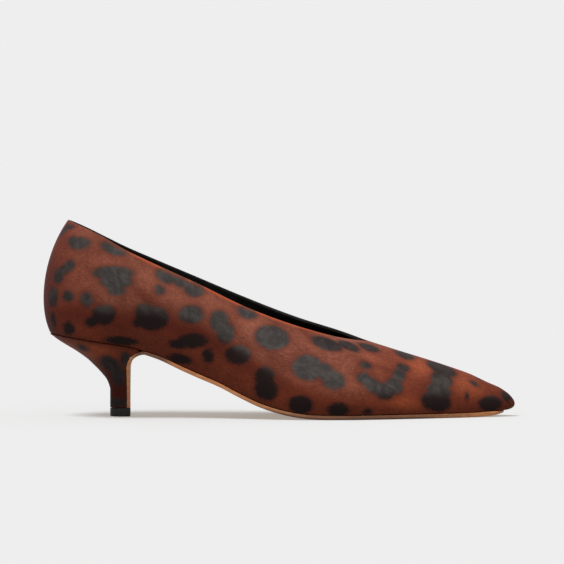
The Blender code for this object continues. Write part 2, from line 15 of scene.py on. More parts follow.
import bpy
import numpy as np
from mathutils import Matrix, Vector


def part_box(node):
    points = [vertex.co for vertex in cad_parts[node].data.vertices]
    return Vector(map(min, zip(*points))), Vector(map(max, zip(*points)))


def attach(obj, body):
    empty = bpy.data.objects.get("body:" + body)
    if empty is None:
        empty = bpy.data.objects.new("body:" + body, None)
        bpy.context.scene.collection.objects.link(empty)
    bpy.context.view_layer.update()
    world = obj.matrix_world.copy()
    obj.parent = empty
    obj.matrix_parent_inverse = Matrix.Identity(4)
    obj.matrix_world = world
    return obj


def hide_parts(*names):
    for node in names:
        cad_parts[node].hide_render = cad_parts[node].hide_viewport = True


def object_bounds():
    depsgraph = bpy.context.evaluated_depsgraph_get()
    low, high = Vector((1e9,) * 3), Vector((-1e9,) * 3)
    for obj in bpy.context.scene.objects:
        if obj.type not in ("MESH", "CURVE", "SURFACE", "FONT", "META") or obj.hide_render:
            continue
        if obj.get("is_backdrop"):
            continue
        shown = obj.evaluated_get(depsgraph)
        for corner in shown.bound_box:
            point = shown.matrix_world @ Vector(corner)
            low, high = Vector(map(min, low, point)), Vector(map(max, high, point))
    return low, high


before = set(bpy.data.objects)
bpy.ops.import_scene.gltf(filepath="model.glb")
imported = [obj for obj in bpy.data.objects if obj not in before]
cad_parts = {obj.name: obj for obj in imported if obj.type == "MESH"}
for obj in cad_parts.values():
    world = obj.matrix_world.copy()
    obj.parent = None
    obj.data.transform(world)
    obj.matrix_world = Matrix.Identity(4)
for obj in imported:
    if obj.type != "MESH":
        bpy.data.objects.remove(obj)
CAD_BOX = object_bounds()

LOG = logging.getLogger("pump")
MM = 0.001
BODY = "root"
WELD_DECIMALS = 7
NO_LENGTH = 1e-12
SAME_PLACE = 1e-9

Triple = tuple[float, float, float]
Colour = Triple
Socket = bpy.types.NodeSocket


class Side(IntEnum):
    """The two sides of the shoe, as the sign of Y."""

    LATERAL = -1
    MEDIAL = 1


class Rail(IntEnum):
    """The four rails that steer each half profile, from the sole up."""

    EDGE = 0
    SIDE = 1
    SHOULDER = 2
    TOP = 3


class Widths(NamedTuple):
    """Half widths of one section, as shares of the ball width; station 1 is the throat, 2 the toe's turn."""

    station: float
    edge: float
    side: float
    shoulder: float
    top: float


LATERAL_WIDTHS = (
    Widths(0.000, 0.314, 0.405, 0.366, 0.256),
    Widths(0.111, 0.295, 0.382, 0.371, 0.287),
    Widths(0.208, 0.282, 0.366, 0.379, 0.307),
    Widths(0.347, 0.295, 0.379, 0.399, 0.326),
    Widths(0.486, 0.343, 0.438, 0.432, 0.329),
    Widths(0.625, 0.410, 0.510, 0.451, 0.309),
    Widths(0.764, 0.463, 0.565, 0.438, 0.254),
    Widths(0.903, 0.461, 0.557, 0.385, 0.149),
    Widths(1.000, 0.418, 0.507, 0.320, -0.010),
    Widths(1.242, 0.348, 0.418, 0.235, -0.019),
    Widths(1.545, 0.243, 0.295, 0.151, -0.026),
    Widths(1.818, 0.144, 0.178, 0.085, -0.031),
    Widths(2.000, 0.075, 0.097, 0.044, -0.028),
)

MEDIAL_WIDTHS = (
    Widths(0.000, 0.314, 0.405, 0.366, 0.256),
    Widths(0.111, 0.282, 0.369, 0.364, 0.285),
    Widths(0.208, 0.243, 0.326, 0.366, 0.301),
    Widths(0.347, 0.207, 0.294, 0.353, 0.314),
    Widths(0.486, 0.225, 0.326, 0.373, 0.309),
    Widths(0.625, 0.311, 0.412, 0.392, 0.282),
    Widths(0.764, 0.413, 0.510, 0.405, 0.225),
    Widths(0.903, 0.476, 0.570, 0.392, 0.136),
    Widths(1.000, 0.469, 0.555, 0.359, 0.010),
    Widths(1.242, 0.416, 0.486, 0.294, 0.019),
    Widths(1.545, 0.314, 0.364, 0.210, 0.026),
    Widths(1.818, 0.210, 0.241, 0.137, 0.031),
    Widths(2.000, 0.128, 0.147, 0.087, 0.028),
)

# How far each rail reaches past the start of a round end, as shares of it
HEEL_REACH = (0.857, 1.090, 1.005, 0.557)
TOE_REACH = (0.380, 1.310, 1.050, 0.620)


class Rises(NamedTuple):
    """Heights of the side and shoulder rails at one section, as shares of the height of its profile."""

    station: float
    side: float
    shoulder: float


SECTION_RISES = (
    Rises(0.000, 0.280, 0.640),
    Rises(0.208, 0.260, 0.620),
    Rises(0.625, 0.260, 0.720),
    Rises(0.764, 0.250, 0.790),
    Rises(0.903, 0.230, 0.930),
    Rises(1.000, 0.220, 1.000),
    Rises(1.545, 0.240, 1.000),
    Rises(2.000, 0.260, 1.000),
)
BACK_RISES = {Rail.SIDE: 0.227, Rail.SHOULDER: 0.680}
TIP_RISES = {Rail.SIDE: 0.080, Rail.SHOULDER: 0.600}

# Height of the collar along the shoe, as shares of its drop from the back to the throat
COLLAR_ALONG = (0.000, 0.104, 0.187, 0.270, 0.434, 0.599, 0.764, 0.896, 1.000)
COLLAR_LATERAL = (1.000, 0.886, 0.767, 0.666, 0.480, 0.285, 0.135, 0.045, 0.000)
COLLAR_MEDIAL = (1.000, 0.875, 0.770, 0.679, 0.504, 0.335, 0.185, 0.087, 0.000)

# From the throat to the tip: height of the vamp's ridge above the edge
RIDGE_ALONG = (0.000, 0.196, 0.474, 0.684, 0.822, 0.895, 0.950)
RIDGE_HEIGHT = (1.000, 0.873, 0.694, 0.541, 0.396, 0.327, 0.248)

# From the back to the start of the tread: how the sole's line climbs from the tread to the heel
CLIMB_ALONG = (0.029, 0.163, 0.253, 0.318, 0.373, 0.413, 0.483, 0.553,
               0.625, 0.695, 0.767, 0.822, 0.867, 0.913, 0.960, 1.000)
CLIMB_HEIGHT = (1.000, 0.921, 0.875, 0.832, 0.782, 0.735, 0.621, 0.508,
                0.398, 0.268, 0.149, 0.084, 0.046, 0.020, 0.005, 0.000)

# From the end of the tread to the tip: how the toe lifts off the floor
SPRING_ALONG = (0.000, 0.317, 0.567, 0.767, 1.000)
SPRING_HEIGHT = (0.000, 0.200, 0.600, 0.760, 1.000)

# Levels of the heel from top piece to seat, and how far it has spread there in depth and in width
LEVEL_HEIGHT = (0.000, 0.100, 0.240, 0.310, 0.380, 0.445, 0.510, 0.580,
                0.650, 0.720, 0.785, 0.850, 0.918, 0.965, 1.000)
LEVEL_DEPTH = (0.000, 0.000, 0.000, 0.020, 0.057, 0.118, 0.189, 0.274,
               0.364, 0.478, 0.598, 0.733, 0.865, 0.940, 1.000)
LEVEL_WIDTH = (0.000, 0.000, 0.022, 0.052, 0.095, 0.148, 0.212, 0.288,
               0.378, 0.478, 0.590, 0.710, 0.840, 0.930, 1.000)


class SmoothCurve:
    """A curve through a table's points that never overshoots them."""

    def __init__(self, xs: Sequence[float], ys: Sequence[float], level_start: bool = False) -> None:
        """Work out the slope at each point.

        Args:
            xs: Places of the points, rising.
            ys: Their values.
            level_start: True if the curve starts level.
        """
        self.xs = np.asarray(xs, float)
        self.ys = np.asarray(ys, float)
        steps = np.diff(self.ys) / np.diff(self.xs)
        before, after = steps[:-1], steps[1:]
        together = before * after > 0
        total = np.where(together, before + after, 1.0)
        inner = np.where(together, 2 * before * after / total, 0.0)
        start = 0.0 if level_start else steps[0]
        self.slopes = np.concatenate(([start], inner, steps[-1:]))

    def __call__(self, x: np.ndarray | float) -> np.ndarray:
        """The curve's values.

        Args:
            x: Places, held between the first point and the last.

        Returns:
            One value for each place.
        """
        x = np.clip(x, self.xs[0], self.xs[-1])
        i = np.clip(np.searchsorted(self.xs, x) - 1, 0, len(self.xs) - 2)
        span = self.xs[i + 1] - self.xs[i]
        t = (x - self.xs[i]) / span
        return (
            (1 + 2 * t) * (1 - t) ** 2 * self.ys[i]
            + t * (1 - t) ** 2 * span * self.slopes[i]
            + t ** 2 * (3 - 2 * t) * self.ys[i + 1]
            + t ** 2 * (t - 1) * span * self.slopes[i + 1]
        )


def mix(start: float, end: float, share: np.ndarray | float) -> np.ndarray | float:
    """The value that lies the given share of the way from start to end."""
    return start + (end - start) * share


class Step(NamedTuple):
    """A smooth step: where it starts and ends in the value that is read, and what comes out there."""

    start: float
    end: float
    low: float = 0.0
    high: float = 1.0

    def at(self, value: np.ndarray) -> np.ndarray:
        """What comes out at each of the values."""
        share = np.clip((value - self.start) / (self.end - self.start), 0.0, 1.0)
        return mix(self.low, self.high, share * share * (3 - 2 * share))


def unit(vectors: np.ndarray) -> np.ndarray:
    """Vectors of length 1 in the same directions."""
    return vectors / np.maximum(np.linalg.norm(vectors, axis=-1, keepdims=True), NO_LENGTH)


def drawn_in(ring: np.ndarray, inset: float) -> np.ndarray:
    """A ring of points, drawn in on the level.

    Args:
        ring: Points by XYZ, clockwise as seen from above.
        inset: How far it moves.

    Returns:
        The smaller ring.
    """
    along = np.roll(ring, -1, axis=0) - np.roll(ring, 1, axis=0)
    return ring + unit(np.column_stack([along[:, 1], -along[:, 0], np.zeros(len(ring))])) * inset


def quarter_round(steps: int) -> np.ndarray:
    """Rows along a quarter round: how far it is drawn in and lies below its top, in shares of its radius."""
    turns = np.linspace(0.0, math.pi / 2, steps + 1)
    return np.column_stack([1 - np.cos(turns), 1 - np.sin(turns)])


def put(name: str, data: bpy.types.ID) -> bpy.types.Object:
    """A new object in the scene.

    Args:
        name: Its name.
        data: The mesh, lamp or camera that it holds.

    Returns:
        The object.
    """
    item = bpy.data.objects.new(name, data)
    bpy.context.scene.collection.objects.link(item)
    return item


class Columns(NamedTuple):
    """Where half profiles stand, from the tip of the toe to the middle of the back.

    The toe's values go from 0 at the tip towards 1 at the body, the body's are places along the shoe,
    and the heel's are angles up to a quarter turn at the middle of the back.
    """

    toe: np.ndarray
    body: np.ndarray
    heel: np.ndarray


@dataclass(frozen=True)
class Last:
    """The last on which the shoe is made, and the levels of sole and heel that follow from it."""

    length: float = 0.2500
    ball_width: float = 0.0765
    heel_height: float = 0.0440
    back_height: float = 0.0597
    vamp_length: float = 0.0760
    vamp_height: float = 0.0371
    toe_spring: float = 0.0010
    heel_round: float = 0.0300
    toe_round: float = 0.0100
    tread_start: float = 0.1500
    tread_end: float = 0.2200
    sole_thickness: float = 0.0020
    flap_thickness: float = 0.0015
    piece_gap: float = 0.0003
    seam_gap: float = 0.00005
    breast_x: float = 0.0446
    flap_fillet: float = 0.0080
    lip_angle: float = math.radians(72)
    waist_taper: float = 0.0200
    tip_taper: float = 0.0100
    tip_thickness: float = 0.0006
    sole_ledge: float = 0.0005
    lift_height: float = 0.0045

    @cached_property
    def throat_x(self) -> float:
        """Place of the throat along the shoe."""
        return self.length - self.vamp_length

    @cached_property
    def toe_turn_x(self) -> float:
        """Place where the toe's round end starts."""
        return self.length - self.toe_round

    @cached_property
    def rim_z(self) -> float:
        """Height of the upper's lower edge on the tread."""
        return self.sole_thickness + self.piece_gap

    @cached_property
    def sole_tip_x(self) -> float:
        """Place of the sole's tip, just outside the upper's lower edge."""
        return self.toe_turn_x + self.toe_round * TOE_REACH[Rail.EDGE] + self.sole_ledge

    @cached_property
    def flap_x(self) -> float:
        """Place of the front of the flap."""
        return self.breast_x + self.piece_gap + self.flap_thickness

    @cached_property
    def fillet_x(self) -> float:
        """Place where the sole starts to turn down into the flap."""
        return self.flap_x + self.flap_fillet

    @cached_property
    def fillet_z(self) -> float:
        """Height of the centre of that turn."""
        return float(self.sole_height(self.fillet_x)) - self.flap_fillet

    @cached_property
    def lip_radius(self) -> float:
        """Radius of the heel's front under its lip."""
        return self.flap_fillet + self.flap_thickness + self.piece_gap

    @cached_property
    def lip_x(self) -> float:
        """How far forward the heel's lip reaches."""
        return self.fillet_x - self.lip_radius * math.cos(self.lip_angle)

    @cached_property
    def lip_z(self) -> float:
        """Height of the heel's top at its lip."""
        return float(self.edge_height(self.lip_x)) - self.piece_gap

    @cached_property
    def heel_base_z(self) -> float:
        """Height of the bottom of the heel, on its top piece."""
        return self.lift_height + self.piece_gap

    @cached_property
    def seat_width(self) -> float:
        """Width of the heel's seat."""
        return 2 * (float(self.width_curves[Side.LATERAL][Rail.EDGE](self.heel_round)) + self.sole_ledge)

    @cached_property
    def width_curves(self) -> dict[Side, list[SmoothCurve]]:
        """Half widths along the shoe, for each side and rail."""
        curves = {}
        for side, rows in ((Side.LATERAL, LATERAL_WIDTHS), (Side.MEDIAL, MEDIAL_WIDTHS)):
            stations, *columns = np.array(rows).T
            xs = self.station_x(stations)
            widths = np.array(columns) * self.ball_width
            curves[side] = [SmoothCurve(xs, row, level_start=True) for row in widths]
        return curves

    @cached_property
    def rise_curves(self) -> dict[Rail, SmoothCurve]:
        """Heights of the side and shoulder rails along the shoe, as shares."""
        stations, *columns = np.array(SECTION_RISES).T
        xs = self.station_x(stations)
        rails = (Rail.SIDE, Rail.SHOULDER)
        return {rail: SmoothCurve(xs, column, level_start=True) for rail, column in zip(rails, columns)}

    @cached_property
    def collar_curves(self) -> dict[Side, SmoothCurve]:
        """Height of the collar above the throat, for each side."""
        back = self.heel_round * (1 - HEEL_REACH[Rail.TOP])
        xs = mix(back, self.throat_x, np.array(COLLAR_ALONG))
        drop = self.heel_height + self.back_height - self.rim_z - self.vamp_height
        return {
            Side.LATERAL: SmoothCurve(xs, np.array(COLLAR_LATERAL) * drop),
            Side.MEDIAL: SmoothCurve(xs, np.array(COLLAR_MEDIAL) * drop),
        }

    @cached_property
    def ridge_curve(self) -> SmoothCurve:
        """Height of the vamp's ridge above the edge."""
        xs = mix(self.throat_x, self.length, np.array(RIDGE_ALONG))
        return SmoothCurve(xs, np.array(RIDGE_HEIGHT) * self.vamp_height)

    @cached_property
    def ground_curves(self) -> tuple[SmoothCurve, SmoothCurve]:
        """Climb of the sole's line to the heel, and its lift at the toe."""
        climb = np.array(CLIMB_HEIGHT) * (self.heel_height - self.rim_z)
        spring = np.array(SPRING_HEIGHT) * self.toe_spring
        return (
            SmoothCurve(np.array(CLIMB_ALONG) * self.tread_start, climb),
            SmoothCurve(mix(self.tread_end, self.length, np.array(SPRING_ALONG)), spring),
        )

    @cached_property
    def level_curves(self) -> tuple[SmoothCurve, SmoothCurve]:
        """How the heel spreads in depth and in width from top piece to seat."""
        return SmoothCurve(LEVEL_HEIGHT, LEVEL_DEPTH), SmoothCurve(LEVEL_HEIGHT, LEVEL_WIDTH)

    def station_x(self, station: np.ndarray) -> np.ndarray:
        """Places along the shoe of a section table's stations.

        Args:
            station: Stations, from 0 at the back over 1 at the throat to 2 at the toe's turn.

        Returns:
            One place for each.
        """
        behind = mix(self.heel_round, self.throat_x, station)
        ahead = mix(self.throat_x, self.toe_turn_x, station - 1)
        return np.where(station <= 1, behind, ahead)

    def edge_height(self, x: np.ndarray | float) -> np.ndarray:
        """Height of the upper's lower edge."""
        climb, spring = self.ground_curves
        return climb(x) + spring(x) + self.rim_z

    def sole_height(self, x: np.ndarray | float) -> np.ndarray:
        """Height of the sole's ground side; the sole thins towards its flap and towards the tip.

        Args:
            x: Places along the shoe.

        Returns:
            One height for each.
        """
        waist = np.clip((x - self.fillet_x) / self.waist_taper, 0.0, 1.0)
        tip = np.clip(1 - (self.sole_tip_x - x) / self.tip_taper, 0.0, 1.0)
        thickness = mix(self.flap_thickness, self.sole_thickness, waist)
        thickness = thickness - (self.sole_thickness - self.tip_thickness) * tip ** 2
        return self.edge_height(x) - self.piece_gap - thickness

    def top_height(self, x: np.ndarray, side: Side) -> np.ndarray:
        """Height of the collar behind the throat, and of the vamp's ridge from the throat on."""
        collar = self.rim_z + self.vamp_height + self.collar_curves[side](x)
        return np.where(x <= self.throat_x, collar, self.edge_height(x) + self.ridge_curve(x))

    def plan(self, side: Side, rail: Rail, columns: Columns, ledge: float = 0.0) -> np.ndarray:
        """Where a rail crosses each column, seen from above.

        Args:
            side: The side of the shoe.
            rail: Which of the four rails.
            columns: Where the columns stand.
            ledge: How far the rail is moved outwards.

        Returns:
            X and Y for each column, from the tip to the back.
        """
        widths = self.width_curves[side]
        tip_y = side * widths[Rail.TOP](self.toe_turn_x)
        toe_reach = self.toe_round * TOE_REACH[rail] + ledge
        toe_width = widths[rail](self.toe_turn_x) + ledge - side * tip_y
        heel_reach = self.heel_round * HEEL_REACH[rail] + ledge
        heel_width = widths[rail](self.heel_round) + ledge
        x = np.concatenate([
            self.toe_turn_x + toe_reach * (1 - columns.toe ** 2),
            columns.body,
            self.heel_round - heel_reach * np.sin(columns.heel),
        ])
        y = np.concatenate([
            tip_y + side * toe_width * columns.toe,
            side * (widths[rail](columns.body) + ledge),
            side * heel_width * np.cos(columns.heel),
        ])
        return np.stack([x, y], axis=-1)

    def sole_edges(self, columns: Columns) -> list[np.ndarray]:
        """The sole's lateral and medial edge, just outside the upper's, each as a plan of columns."""
        return [self.plan(side, Rail.EDGE, columns, self.sole_ledge) for side in Side]

    def rise(self, rail: Rail, columns: Columns) -> np.ndarray:
        """Height share of the side rail or the shoulder rail at each column.

        Args:
            rail: Which of the two.
            columns: Where the columns stand.

        Returns:
            One share for each column.
        """
        curve = self.rise_curves[rail]
        return np.concatenate([
            mix(TIP_RISES[rail], curve(self.toe_turn_x), columns.toe ** 2),
            curve(columns.body),
            mix(curve(self.heel_round), BACK_RISES[rail], np.sin(columns.heel) ** 2),
        ])

    def rails(self, side: Side, columns: Columns) -> np.ndarray:
        """The points that steer the half profiles.

        Args:
            side: The side of the shoe.
            columns: Where the columns stand.

        Returns:
            Columns by rails by XYZ.
        """
        plans = [self.plan(side, rail, columns) for rail in Rail]
        low = self.edge_height(plans[Rail.EDGE][:, 0])
        high = self.top_height(plans[Rail.TOP][:, 0], side)
        middle = [mix(low, high, self.rise(rail, columns)) for rail in (Rail.SIDE, Rail.SHOULDER)]
        heights = [low, *middle, high]
        return np.stack([np.column_stack([at, z]) for at, z in zip(plans, heights)], axis=1)

    def surfaces(self, columns: Columns, rows: int) -> tuple[np.ndarray, np.ndarray]:
        """Both halves of the last's surface.

        Args:
            columns: Where the half profiles stand.
            rows: How many steps each has from the edge to the top.

        Returns:
            The lateral and the medial half, each as columns by rows by XYZ.
        """
        lateral = self.rails(Side.LATERAL, columns)
        medial = self.rails(Side.MEDIAL, columns)
        vamp = len(columns.toe) + int(np.sum(columns.body >= self.throat_x - SAME_PLACE))
        medial[:vamp, Rail.TOP] = lateral[:vamp, Rail.TOP]
        t = np.linspace(0.0, 1.0, rows + 1)
        weights = np.stack([(1 - t) ** 3, 3 * t * (1 - t) ** 2, 3 * t ** 2 * (1 - t), t ** 3])
        return (
            np.einsum("ckd,kr->crd", lateral, weights),
            np.einsum("ckd,kr->crd", medial, weights),
        )


@dataclass
class MeshDraft:
    """Grids of points that become one mesh, with values at the points for the finish to read."""

    name: str
    shift: Vector
    points: list[np.ndarray] = field(default_factory=list)
    faces: list[np.ndarray] = field(default_factory=list)
    values: list[dict[str, np.ndarray]] = field(default_factory=list)
    count: int = 0

    def add_grid(self, grid: np.ndarray, closed: bool = False, flip: bool = False,
                 **values: np.ndarray) -> None:
        """Add a grid of quads.

        Args:
            grid: Columns by rows by XYZ.
            closed: True if the last column joins the first.
            flip: True to turn the faces over.
            **values: A value or a vector for each point; a grid that lacks one has zeros.
        """
        columns, rows = grid.shape[:2]
        index = np.arange(columns * rows).reshape(columns, rows) + self.count
        if closed:
            index = np.concatenate([index, index[:1]])
        corners = [index[:-1, :-1], index[:-1, 1:], index[1:, 1:], index[1:, :-1]]
        if flip:
            corners.reverse()
        self.faces.append(np.stack(corners, axis=-1).reshape(-1, 4))
        self.points.append(grid.reshape(-1, 3))
        self.count += columns * rows
        self.values.append({
            name: value.reshape(columns * rows, *value.shape[2:]) for name, value in values.items()
        })

    def add_cap(self, ring: np.ndarray, flip: bool = False) -> None:
        """Close a ring of points with rungs between its two halves.

        Args:
            ring: Points by XYZ, an even number of them.
            flip: True to turn the faces over.
        """
        half = len(ring) // 2
        first = ring[:half + 1]
        second = np.concatenate([ring[:1], ring[:half - 1:-1]])
        self.add_grid(np.stack([first, second]), flip=flip)

    def merged(self, name: str) -> np.ndarray:
        """One named value at the points of all the grids.

        Args:
            name: The value's name.

        Returns:
            A value or a vector for each point.
        """
        sample = next(values[name] for values in self.values if name in values)
        return np.concatenate([
            values.get(name, np.zeros((len(points), *sample.shape[1:])))
            for points, values in zip(self.points, self.values)
        ])

    def build(self, material: bpy.types.Material, sharp: float = 50.0) -> bpy.types.Object:
        """Weld the grids and make the object.

        Args:
            material: Its finish.
            sharp: Bend in degrees from which an edge stays sharp.

        Returns:
            The new object, in the frame's place.
        """
        points = np.concatenate(self.points)
        keys = np.round(points, WELD_DECIMALS) + 0.0
        _, first, place = np.unique(keys, axis=0, return_index=True, return_inverse=True)
        faces = place.reshape(-1)[np.concatenate(self.faces)]
        polygons = []
        for face in faces.tolist():
            corners = list(dict.fromkeys(face))
            if len(corners) > 2:
                polygons.append(corners)
        mesh = bpy.data.meshes.new(self.name)
        mesh.from_pydata((points[first] + np.array(self.shift)).tolist(), [], polygons)
        for name in dict.fromkeys(name for values in self.values for name in values):
            merged = self.merged(name)[first]
            kind = "FLOAT_VECTOR" if merged.ndim == 2 else "FLOAT"
            layer = mesh.attributes.new(name, kind, "POINT")
            layer.data.foreach_set("vector" if merged.ndim == 2 else "value", merged.ravel())
        mesh.update()
        mesh.shade_smooth()
        mesh.set_sharp_from_angle(angle=math.radians(sharp))
        mesh.materials.append(material)
        return put(self.name, mesh)


def settle(piece: bpy.types.Object, node: str) -> None:
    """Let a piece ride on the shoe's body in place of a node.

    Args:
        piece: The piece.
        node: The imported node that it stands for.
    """
    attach(piece, BODY)
    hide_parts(node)
    LOG.info("%s stands for %s: %d faces", piece.name, node, len(piece.data.polygons))


@dataclass
class LastedShell:
    """The upper's outer and inner surfaces, as a ring of columns from the tip over the lateral side."""

    last: Last
    wall: float = 0.0020
    rows: int = 72
    toe_steps: int = 22
    vamp_steps: int = 84
    wall_steps: int = 176
    heel_steps: int = 56
    evening_rounds: int = 5
    evening: float = 0.5

    @cached_property
    def columns(self) -> Columns:
        """Where the half profiles stand."""
        vamp = np.linspace(self.last.toe_turn_x, self.last.throat_x, self.vamp_steps + 1)
        side = np.linspace(self.last.throat_x, self.last.heel_round, self.wall_steps + 1)[1:]
        return Columns(
            toe=np.arange(self.toe_steps) / self.toe_steps,
            body=np.concatenate([vamp, side]),
            heel=np.linspace(0.0, math.pi / 2, self.heel_steps + 1)[1:],
        )

    @property
    def throat(self) -> int:
        """Index of the lateral column at the throat."""
        return self.toe_steps + self.vamp_steps

    @property
    def back(self) -> int:
        """Index of the column at the middle of the back."""
        return self.throat + self.wall_steps + self.heel_steps

    @property
    def count(self) -> int:
        """How many columns the ring has."""
        return 2 * self.back

    @cached_property
    def outer(self) -> np.ndarray:
        """The outer surface, as columns by rows by XYZ."""
        lateral, medial = self.last.surfaces(self.columns, self.rows)
        return np.concatenate([lateral, medial[-2:0:-1]])

    @cached_property
    def is_vamp(self) -> np.ndarray:
        """True for the columns that end on the ridge."""
        column = np.arange(self.count)
        return np.minimum(column, self.count - column) <= self.throat

    @cached_property
    def normals(self) -> np.ndarray:
        """Outward directions of the outer surface."""
        outer = self.outer
        partner = -np.arange(self.count) % self.count
        beyond = np.where(self.is_vamp[:, None], outer[partner, -2], outer[:, -1])
        above = np.concatenate([outer[:, 1:], beyond[:, None]], axis=1)
        below = np.concatenate([outer[:, :1], outer[:, :-1]], axis=1)
        along = np.roll(outer, -1, axis=0) - np.roll(outer, 1, axis=0)
        normals = np.cross(above - below, along)
        down = outer[0, -2] - outer[0, -1]
        back = outer[1, -1] - outer[0, -1]
        normals[0, -1] = np.cross(down - back, (0.0, 1.0, 0.0))
        return unit(normals)

    @cached_property
    def inner(self) -> np.ndarray:
        """The lining's surface, one wall inside the outer one."""
        return self.outer - self.normals * self.wall

    @cached_property
    def rises(self) -> np.ndarray:
        """Lengths of the steps up the outer surface, column by column."""
        return np.linalg.norm(np.diff(self.outer, axis=1), axis=2)

    @cached_property
    def hide_place(self) -> np.ndarray:
        """For each point its place on the hide in millimetres: along the shoe, and down from the top."""
        middle = self.outer[:, self.rows // 2]
        steps = np.linalg.norm(np.diff(middle[:self.back + 1], axis=0), axis=1)
        along = np.concatenate([[0.0], np.cumsum(steps)])
        column = np.arange(self.count)
        along = along[np.minimum(column, self.count - column)]
        down = np.cumsum(self.rises[:, ::-1], axis=1)[:, ::-1]
        down = np.concatenate([down, np.zeros((self.count, 1))], axis=1)
        sign = np.where(column <= self.back, 1.0, -1.0)
        place = np.zeros_like(self.outer)
        place[..., 0] = along[:, None] / MM
        place[..., 1] = down * sign[:, None] / MM
        return place

    @cached_property
    def collar(self) -> np.ndarray:
        """Indices of the collar's columns, from the throat round the back, as a closed loop."""
        return np.arange(self.throat, self.count - self.throat)

    def collar_roll(self, turns: np.ndarray, radius: float, lift: float) -> np.ndarray:
        """Points on the rolled edge of the collar, whose direction is evened out round the throat's corner.

        Args:
            turns: For each column, angles round the roll in radians: 0 outside, a half turn at the lining.
            radius: Radius of the roll.
            lift: Its height as a share of its width.

        Returns:
            Columns by angles by XYZ.
        """
        edge = self.outer[self.collar, -1]
        normal = self.normals[self.collar, -1]
        tangent = unit(np.roll(edge, -1, axis=0) - np.roll(edge, 1, axis=0))
        free = np.cross(tangent, normal)
        for _ in range(self.evening_rounds):
            free = unit(free + self.evening * (np.roll(free, 1, axis=0) + np.roll(free, -1, axis=0)))
        centre = edge - normal * self.wall / 2
        out = np.cos(turns)[..., None] * normal[:, None]
        up = np.sin(turns)[..., None] * free[:, None] * lift
        return centre[:, None] + radius * (out + up)


class Blob(NamedTuple):
    """An oval of other hair or of painted light as seen from its side: place and half sizes in mm, tilt in
    degrees.
    """

    x: float
    z: float
    long: float
    tall: float
    tilt: float = 0


# The spots of the lateral side, from the back to the toe; ovals that overlap make one spot
LATERAL_BLOBS = tuple(Blob(*row) for row in (
    (15.5, 101.5, 5, 3, -20), (11.5, 98, 2.4, 3.4, -20), (20.5, 91, 5.6, 3.3, -4), (16, 92.5, 2.6, 2.2),
    (38.5, 88, 6.8, 3, -20), (15, 79, 3.8, 3, 30), (11.5, 76.5, 3.2, 2.8, 40), (9, 73.5, 4, 3.9, 30),
    (38.5, 75, 10.2, 3.7, 0), (40, 71, 8.2, 4.2), (40, 67, 4.4, 3), (67, 74, 6.2, 4.2, -18),
    (73.5, 71, 4.2, 3.2, -20), (80.5, 67.5, 5.2, 4.2, -5), (63, 66.5, 2.4, 2.2), (6, 63.5, 4.2, 5),
    (6.5, 51.5, 2.2, 3.6), (14.5, 63.5, 3.3, 2.7), (24.5, 61, 3, 3.7, 10), (33, 53.2, 6, 5, 10),
    (27.5, 49.7, 4, 2.6, 20), (14.5, 46, 3.2, 3.6, -20), (59, 51.3, 8.4, 6.2), (54.5, 54.8, 4.6, 3.8),
    (51.5, 49, 2.8, 2), (42.5, 39.5, 8, 2.3, -6), (79, 53.8, 6.2, 4.5), (94, 49.8, 4.7, 5.6, 8),
    (97, 43.4, 4.4, 5.4), (79.5, 39.6, 7.8, 3.8, 4), (72.5, 38, 4.8, 2.4), (108.8, 54.8, 5.2, 3.9, -22),
    (122, 41.6, 9, 6.7, -4), (104, 32.3, 6.5, 4.8), (88.3, 31.8, 2.9, 3.6), (73.5, 30.4, 5.8, 2.6, -6),
    (117.3, 21, 5, 4.6, 30), (118.5, 14.4, 6.1, 5.6, -20), (140.5, 25.7, 8.1, 6.9), (149, 24, 4.8, 4.5),
    (153.6, 19, 6, 4.8, -10), (150, 38.4, 8.4, 4.6, -9), (161.5, 37.4, 6, 3.9, -8),
    (172, 36.4, 5.6, 4, -6), (170.5, 26.9, 2.9, 2.3), (169.5, 19.6, 4, 3.5), (174.5, 15.6, 4.8, 3.9, -35),
    (180, 13.6, 5.2, 4.3, -5), (186, 16.2, 4.2, 4.7, 50), (188, 21.6, 3.4, 5, -20),
    (190.5, 25.8, 3.2, 2.7), (191, 32.6, 5.4, 4.4, -15), (211, 25.6, 8.2, 5.8, -18), (211, 19.4, 6, 5.3),
    (209.5, 13.4, 6.6, 5), (208, 8, 8.4, 5.2), (224, 10.8, 0.9, 2), (228, 17.4, 2.2, 1.2, -20),
    (236.6, 6.8, 6.6, 3.9, 8), (245.8, 10.6, 3.2, 3, -40), (136, 5.8, 6.3, 4.8), (155.8, 3.8, 5.3, 3.6),
    (171.5, 2.6, 2.1, 1.5),
))

# Pools of painted light on the hair of the lateral side
PAINTED_LIGHT_BLOBS = tuple(Blob(*row) for row in (
    (68, 67.5, 22, 9, -22), (88, 59.5, 15, 6.5, -25), (112, 47, 9, 7, -20), (33, 81.5, 7, 3, -15),
    (136, 20, 7, 4, -20), (163, 17, 9, 4.5), (224, 15.5, 10, 7, -20), (190, 7, 13, 4),
    (200, 26, 7, 8, -15), (172, 31, 9, 3, -10),
))

# Dark spots on the heel's neck, its foot and under its seat, on both sides alike but for a small shift
HEEL_BLOBS = tuple(Blob(*row) for row in (
    (40, 22.5, 3.4, 6, 8), (36, 28.5, 5.4, 3.6, -30), (44.5, 31, 2.6, 3.4), (40, 7.6, 4.2, 2.3),
    (22, 37, 2.6, 1.4, -20),
))

# Painted light on the hair under the seat
HEEL_PAINTED_LIGHT = (Blob(26.0, 36.2, 14.0, 5.0, -14),)


class Patch(NamedTuple):
    """An oval of dark hair on the medial side: place along the shoe and half sizes in mm, share of height."""

    x: float
    share: float
    long: float
    wide: float
    tilt: float


